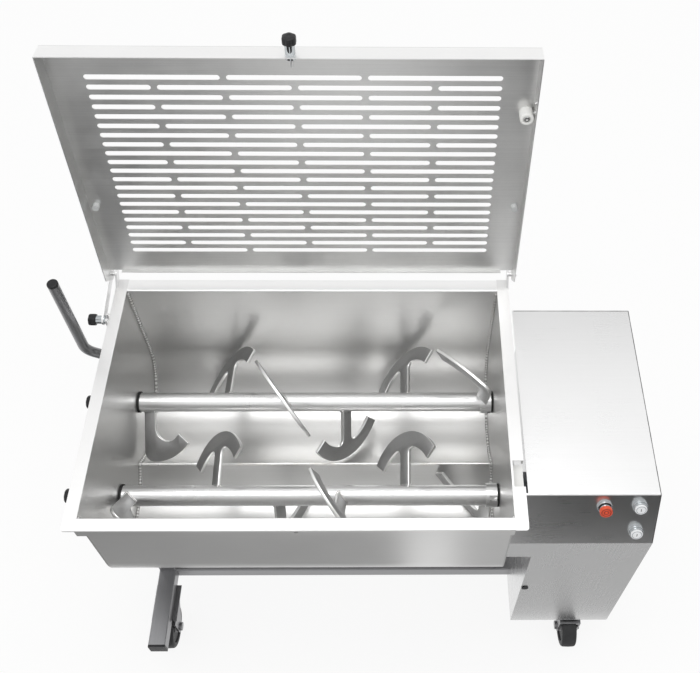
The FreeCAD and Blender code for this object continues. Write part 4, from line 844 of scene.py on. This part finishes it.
# Fasteners. A bolt is a washer and a chamfered hexagon head, given as (across flats, height).
fastenerLook = {
    "gearcaseFace": 431.0, "gearcaseInset": 44.5, "domeScrew": 4.5,
    "bearings": ((-463.0, 38.0), (451.0, 44.0)),    # x of the seat, radius of the bolts' circle
    "bearingBolt": (7.0, 4.0), "casterBolt": (8.0, 5.0), "casterHalf": (22.0, 34.0), "casterPlate": 121.0,
    "coverColumns": (468.0, 684.0), "coverRows": (140.0, 450.0, 755.0),
    "leftNut": (-437.7, 12.0, 4.3), "rightNut": (433.8, 12.0, 7.0),    # x of the seat, then the bolt
}


def boltShells(place, axis, across, height):
    corner = across / 2 / math.cos(math.pi / 6)
    washer = [(-0.3, across * 0.62), (0, across * 0.66), (1.1, across * 0.66), (1.4, across * 0.6)]
    head = [(1.3, corner), (height - 1.0, corner), (height - 0.4, corner * 0.94), (height, corner * 0.84)]
    return [turnedShell(place, axis, washer, 32), turnedShell(place, axis, head, 24, hexOutline)]


def domeScrew(place, axis, radius):
    # low dome with a round socket
    return turnedShell(place, axis, [(-0.3, radius - 0.4), (0.2, radius), (radius * 0.28, radius * 0.94),
                                     (radius * 0.48, radius * 0.72), (radius * 0.55, radius * 0.45),
                                     (radius * 0.2, radius * 0.4), (radius * 0.2, 0.2)], 32)


def makeFasteners(look):
    height, spacing, inset = shared["shaftHeight"], shared["shaftSpacing"], look["gearcaseInset"]
    screw = look["domeScrew"]
    # round the gearcase cover: three on each end's half circle, two on each straight side
    rim = [(inset * math.cos(a), inset * math.sin(a)) for a in np.radians((120, 180, 240))]
    rim += [(spacing - y, z) for y, z in rim]
    rim += [(spacing / 3 * k, way * inset) for k in (1, 2) for way in (-1, 1)]
    heads = [domeScrew(tankPoint(look["gearcaseFace"], y, height + z), axisX, screw) for y, z in rim]
    makePiece("gearcaseScrews", heads, "brightScrew", "tank")
    diagonal = [(math.cos(a), math.sin(a)) for a in np.radians((45, 135, 225, 315))]
    bolts = []
    for x, reach in look["bearings"]:
        for a, b in diagonal:
            bolts += boltShells(tankPoint(x, reach * a, height + reach * b), -axisX, *look["bearingBolt"])
    halfX, halfY = look["casterHalf"]
    for x, y in casterLook["places"]:
        for a, b in ((-halfX, -halfY), (halfX, -halfY), (-halfX, halfY), (halfX, halfY)):
            bolts += boltShells(tankPoint(x + a, y + b, look["casterPlate"]), -axisZ, *look["casterBolt"])
    makePiece("standBolts", bolts, "brightScrew", "stand")
    covers = [domeScrew(tankPoint(x, shared["cabinetRear"], z), axisY, screw)
              for x in look["coverColumns"] for z in look["coverRows"]]
    makePiece("coverScrews", covers, "brightScrew", "stand")
    # the left hinge's nut has no washer
    (leftX, *leftNut), (rightX, *rightNut) = look["leftNut"], look["rightNut"]
    nuts = boltShells(tankPoint(leftX, *shared["hinge"]), -axisX, *leftNut)[1:]
    nuts += boltShells(tankPoint(rightX, *shared["hinge"]), axisX, *rightNut)
    makePiece("hingeNuts", nuts, "brightScrew", "tank")


makeFasteners(fastenerLook)


# Caps in the open ends of the tilting handle and of the left post
capLook = {
    "handle": {"place": (-480, 248, 1005), "height": 5.0, "radius": 10.9, "edge": 3.0, "sunk": -2.0},
    "post": {"place": (-378.0, 0.0, 405.0), "half": 19.6, "plug": 16.5, "height": 3.0, "sunk": -12.0},
}


def makeCaps(handle, post):
    profile = rounded(handle["height"], handle["radius"], handle["edge"], 6, handle["sunk"])
    makePiece("handleCap", [turnedShell(tankPoint(*handle["place"]), axisZ, profile)], "black_plastic", "tank")
    half, plug, height = post["half"], post["plug"], post["height"]
    profile = [(post["sunk"], plug - 0.6), (-0.1, plug), (0, half), (height - 0.8, half), (height, half - 1),
               (height, 0.3)]
    makePiece("postCap", [turnedShell(tankPoint(*post["place"]), axisZ, profile, 96, squareOutline)],
              "black_plastic", "stand")


makeCaps(capLook["handle"], capLook["post"])
print("wheels and fasteners made")


# Studio
studio = {
    "floorHalf": 14.0,
    "floorColour": (0.82, 0.82, 0.815),
    "floorSpread": 0.04,
    "floorGrain": 40.0,
    "floorGlow": 0.88,
    "worldStrength": 0.88,
}
softboxes = {
    "overheadSoftbox": {"place": (0.1, 0.4, 3.6), "aim": (0.1, 0.4, 0.0), "size": (3.8, 2.6), "power": 6.0},
    "topSoftbox": {"place": (-0.1, -0.15, 3.3), "aim": (-0.1, 0.05, 0.5), "size": (1.6, 0.7), "power": 19.0},
}
# Cards on the floor in front: left, right, far and near edge, and how bright each looks in the steel
cardHeight = 0.004
reflectionCards = {
    "darkCardRight": (0.4, 3.2, -4.2, -1.3, 0.03),
    "greyCardLeft": (-2.6, -0.55, -3.0, -0.95, 0.05),
    "greyCardFrontLeft": (-1.6, 0.12, -0.93, -0.36, 0.3),
    "greyCardFrontRight": (0.25, 1.3, -0.95, -0.3, 0.48),
}
# Standing cards: left, right, place in y, foot, top, and how bright each looks
standingCards = {
    "darkStandingCard": (0.1, 3.6, -4.2, 0.0, 2.2, 0.03),
    "greyBackCard": (-3.5, 4.5, 3.0, 2.6, 5.2, 0.8),
}


def stageSheet(name, corners, materialName):
    # one flat sheet of the studio; gives it and the empty node tree of its material
    mesh = bpy.data.meshes.new(name)
    mesh.from_pydata(corners, [], [(0, 1, 2, 3)])
    sheet = bpy.data.objects.new(name, mesh)
    bpy.context.scene.collection.objects.link(sheet)
    material = bpy.data.materials.new(materialName)
    material.use_nodes = True
    material.node_tree.nodes.clear()
    mesh.materials.append(material)
    return sheet, material.node_tree


def seenDirectly(tree):
    # 1 for rays from the camera, from a reflection and through glass
    camera, glossy, through = (addNode(tree, "ShaderNodeLightPath", output=name)
                               for name in ("Is Camera Ray", "Is Glossy Ray", "Is Transmission Ray"))
    return camera | glossy | through


def makeStage(look):
    # pale floor: it shows white to the camera and in reflections, and keeps part of the shadow
    half = look["floorHalf"]
    corners = [(-half, -half, 0), (half, -half, 0), (half, half, 0), (-half, half, 0)]
    tree = stageSheet("studioFloor", corners, "floorPaper")[1]
    grain = noise(tree, stretched(tree), look["floorGrain"], detail=3.0, rough=0.5)
    pale = [value + look["floorSpread"] for value in look["floorColour"]]
    paper = blendColours(tree, grain, look["floorColour"], pale)
    dull = addNode(tree, "ShaderNodeBsdfDiffuse", {}, {"Color": paper})
    white = addNode(tree, "ShaderNodeEmission", {}, {"Color": (1, 1, 1, 1), "Strength": 1.0})
    glow = seenDirectly(tree) * look["floorGlow"]
    shown = addNode(tree, "ShaderNodeMixShader", {}, {0: glow, 1: dull, 2: white})
    addNode(tree, "ShaderNodeOutputMaterial", {}, {"Surface": shown})

    world = bpy.data.worlds.new("studioWorld")
    bpy.context.scene.world = world
    world.use_nodes = True
    tree = world.node_tree
    tree.nodes.clear()
    strength = seenDirectly(tree) * (1.0 - look["worldStrength"]) + look["worldStrength"]
    sky = addNode(tree, "ShaderNodeBackground", {}, {"Color": (1, 1, 1, 1), "Strength": strength})
    addNode(tree, "ShaderNodeOutputWorld", {}, {"Surface": sky})


def makeSoftbox(name, look):
    data = bpy.data.lights.new(name, "AREA")
    data.shape = "RECTANGLE"
    data.size, data.size_y = look["size"]
    data.energy = look["power"]
    lamp = bpy.data.objects.new(name, data)
    turn = (Vector(look["place"]) - Vector(look["aim"])).to_track_quat("Z", "Y")
    lamp.matrix_world = Matrix.Translation(look["place"]) @ turn.to_matrix().to_4x4()
    lamp.visible_camera = False
    bpy.context.scene.collection.objects.link(lamp)


def makeCard(name, corners, level):
    # card outside the view; only shiny surfaces see it, which gives the steel its darker tones
    card, tree = stageSheet(name, corners, name)
    glow = addNode(tree, "ShaderNodeEmission", {}, {"Color": (1, 1, 1, 1), "Strength": level})
    addNode(tree, "ShaderNodeOutputMaterial", {}, {"Surface": glow})
    for side in ("camera", "diffuse", "shadow", "transmission", "volume_scatter"):
        setattr(card, "visible_" + side, False)


makeStage(studio)
makeSoftbox("overheadSoftbox", softboxes["overheadSoftbox"])
for name, (left, right, far, near, level) in reflectionCards.items():
    corners = [(left, far, cardHeight), (right, far, cardHeight), (right, near, cardHeight),
               (left, near, cardHeight)]
    makeCard(name, corners, level)
for name, (left, right, y, foot, top, level) in standingCards.items():
    makeCard(name, [(left, y, foot), (right, y, foot), (right, y, top), (left, y, top)], level)
makeSoftbox("topSoftbox", softboxes["topSoftbox"])
bpy.context.scene.view_settings.view_transform = "Standard"
print("studio ready")
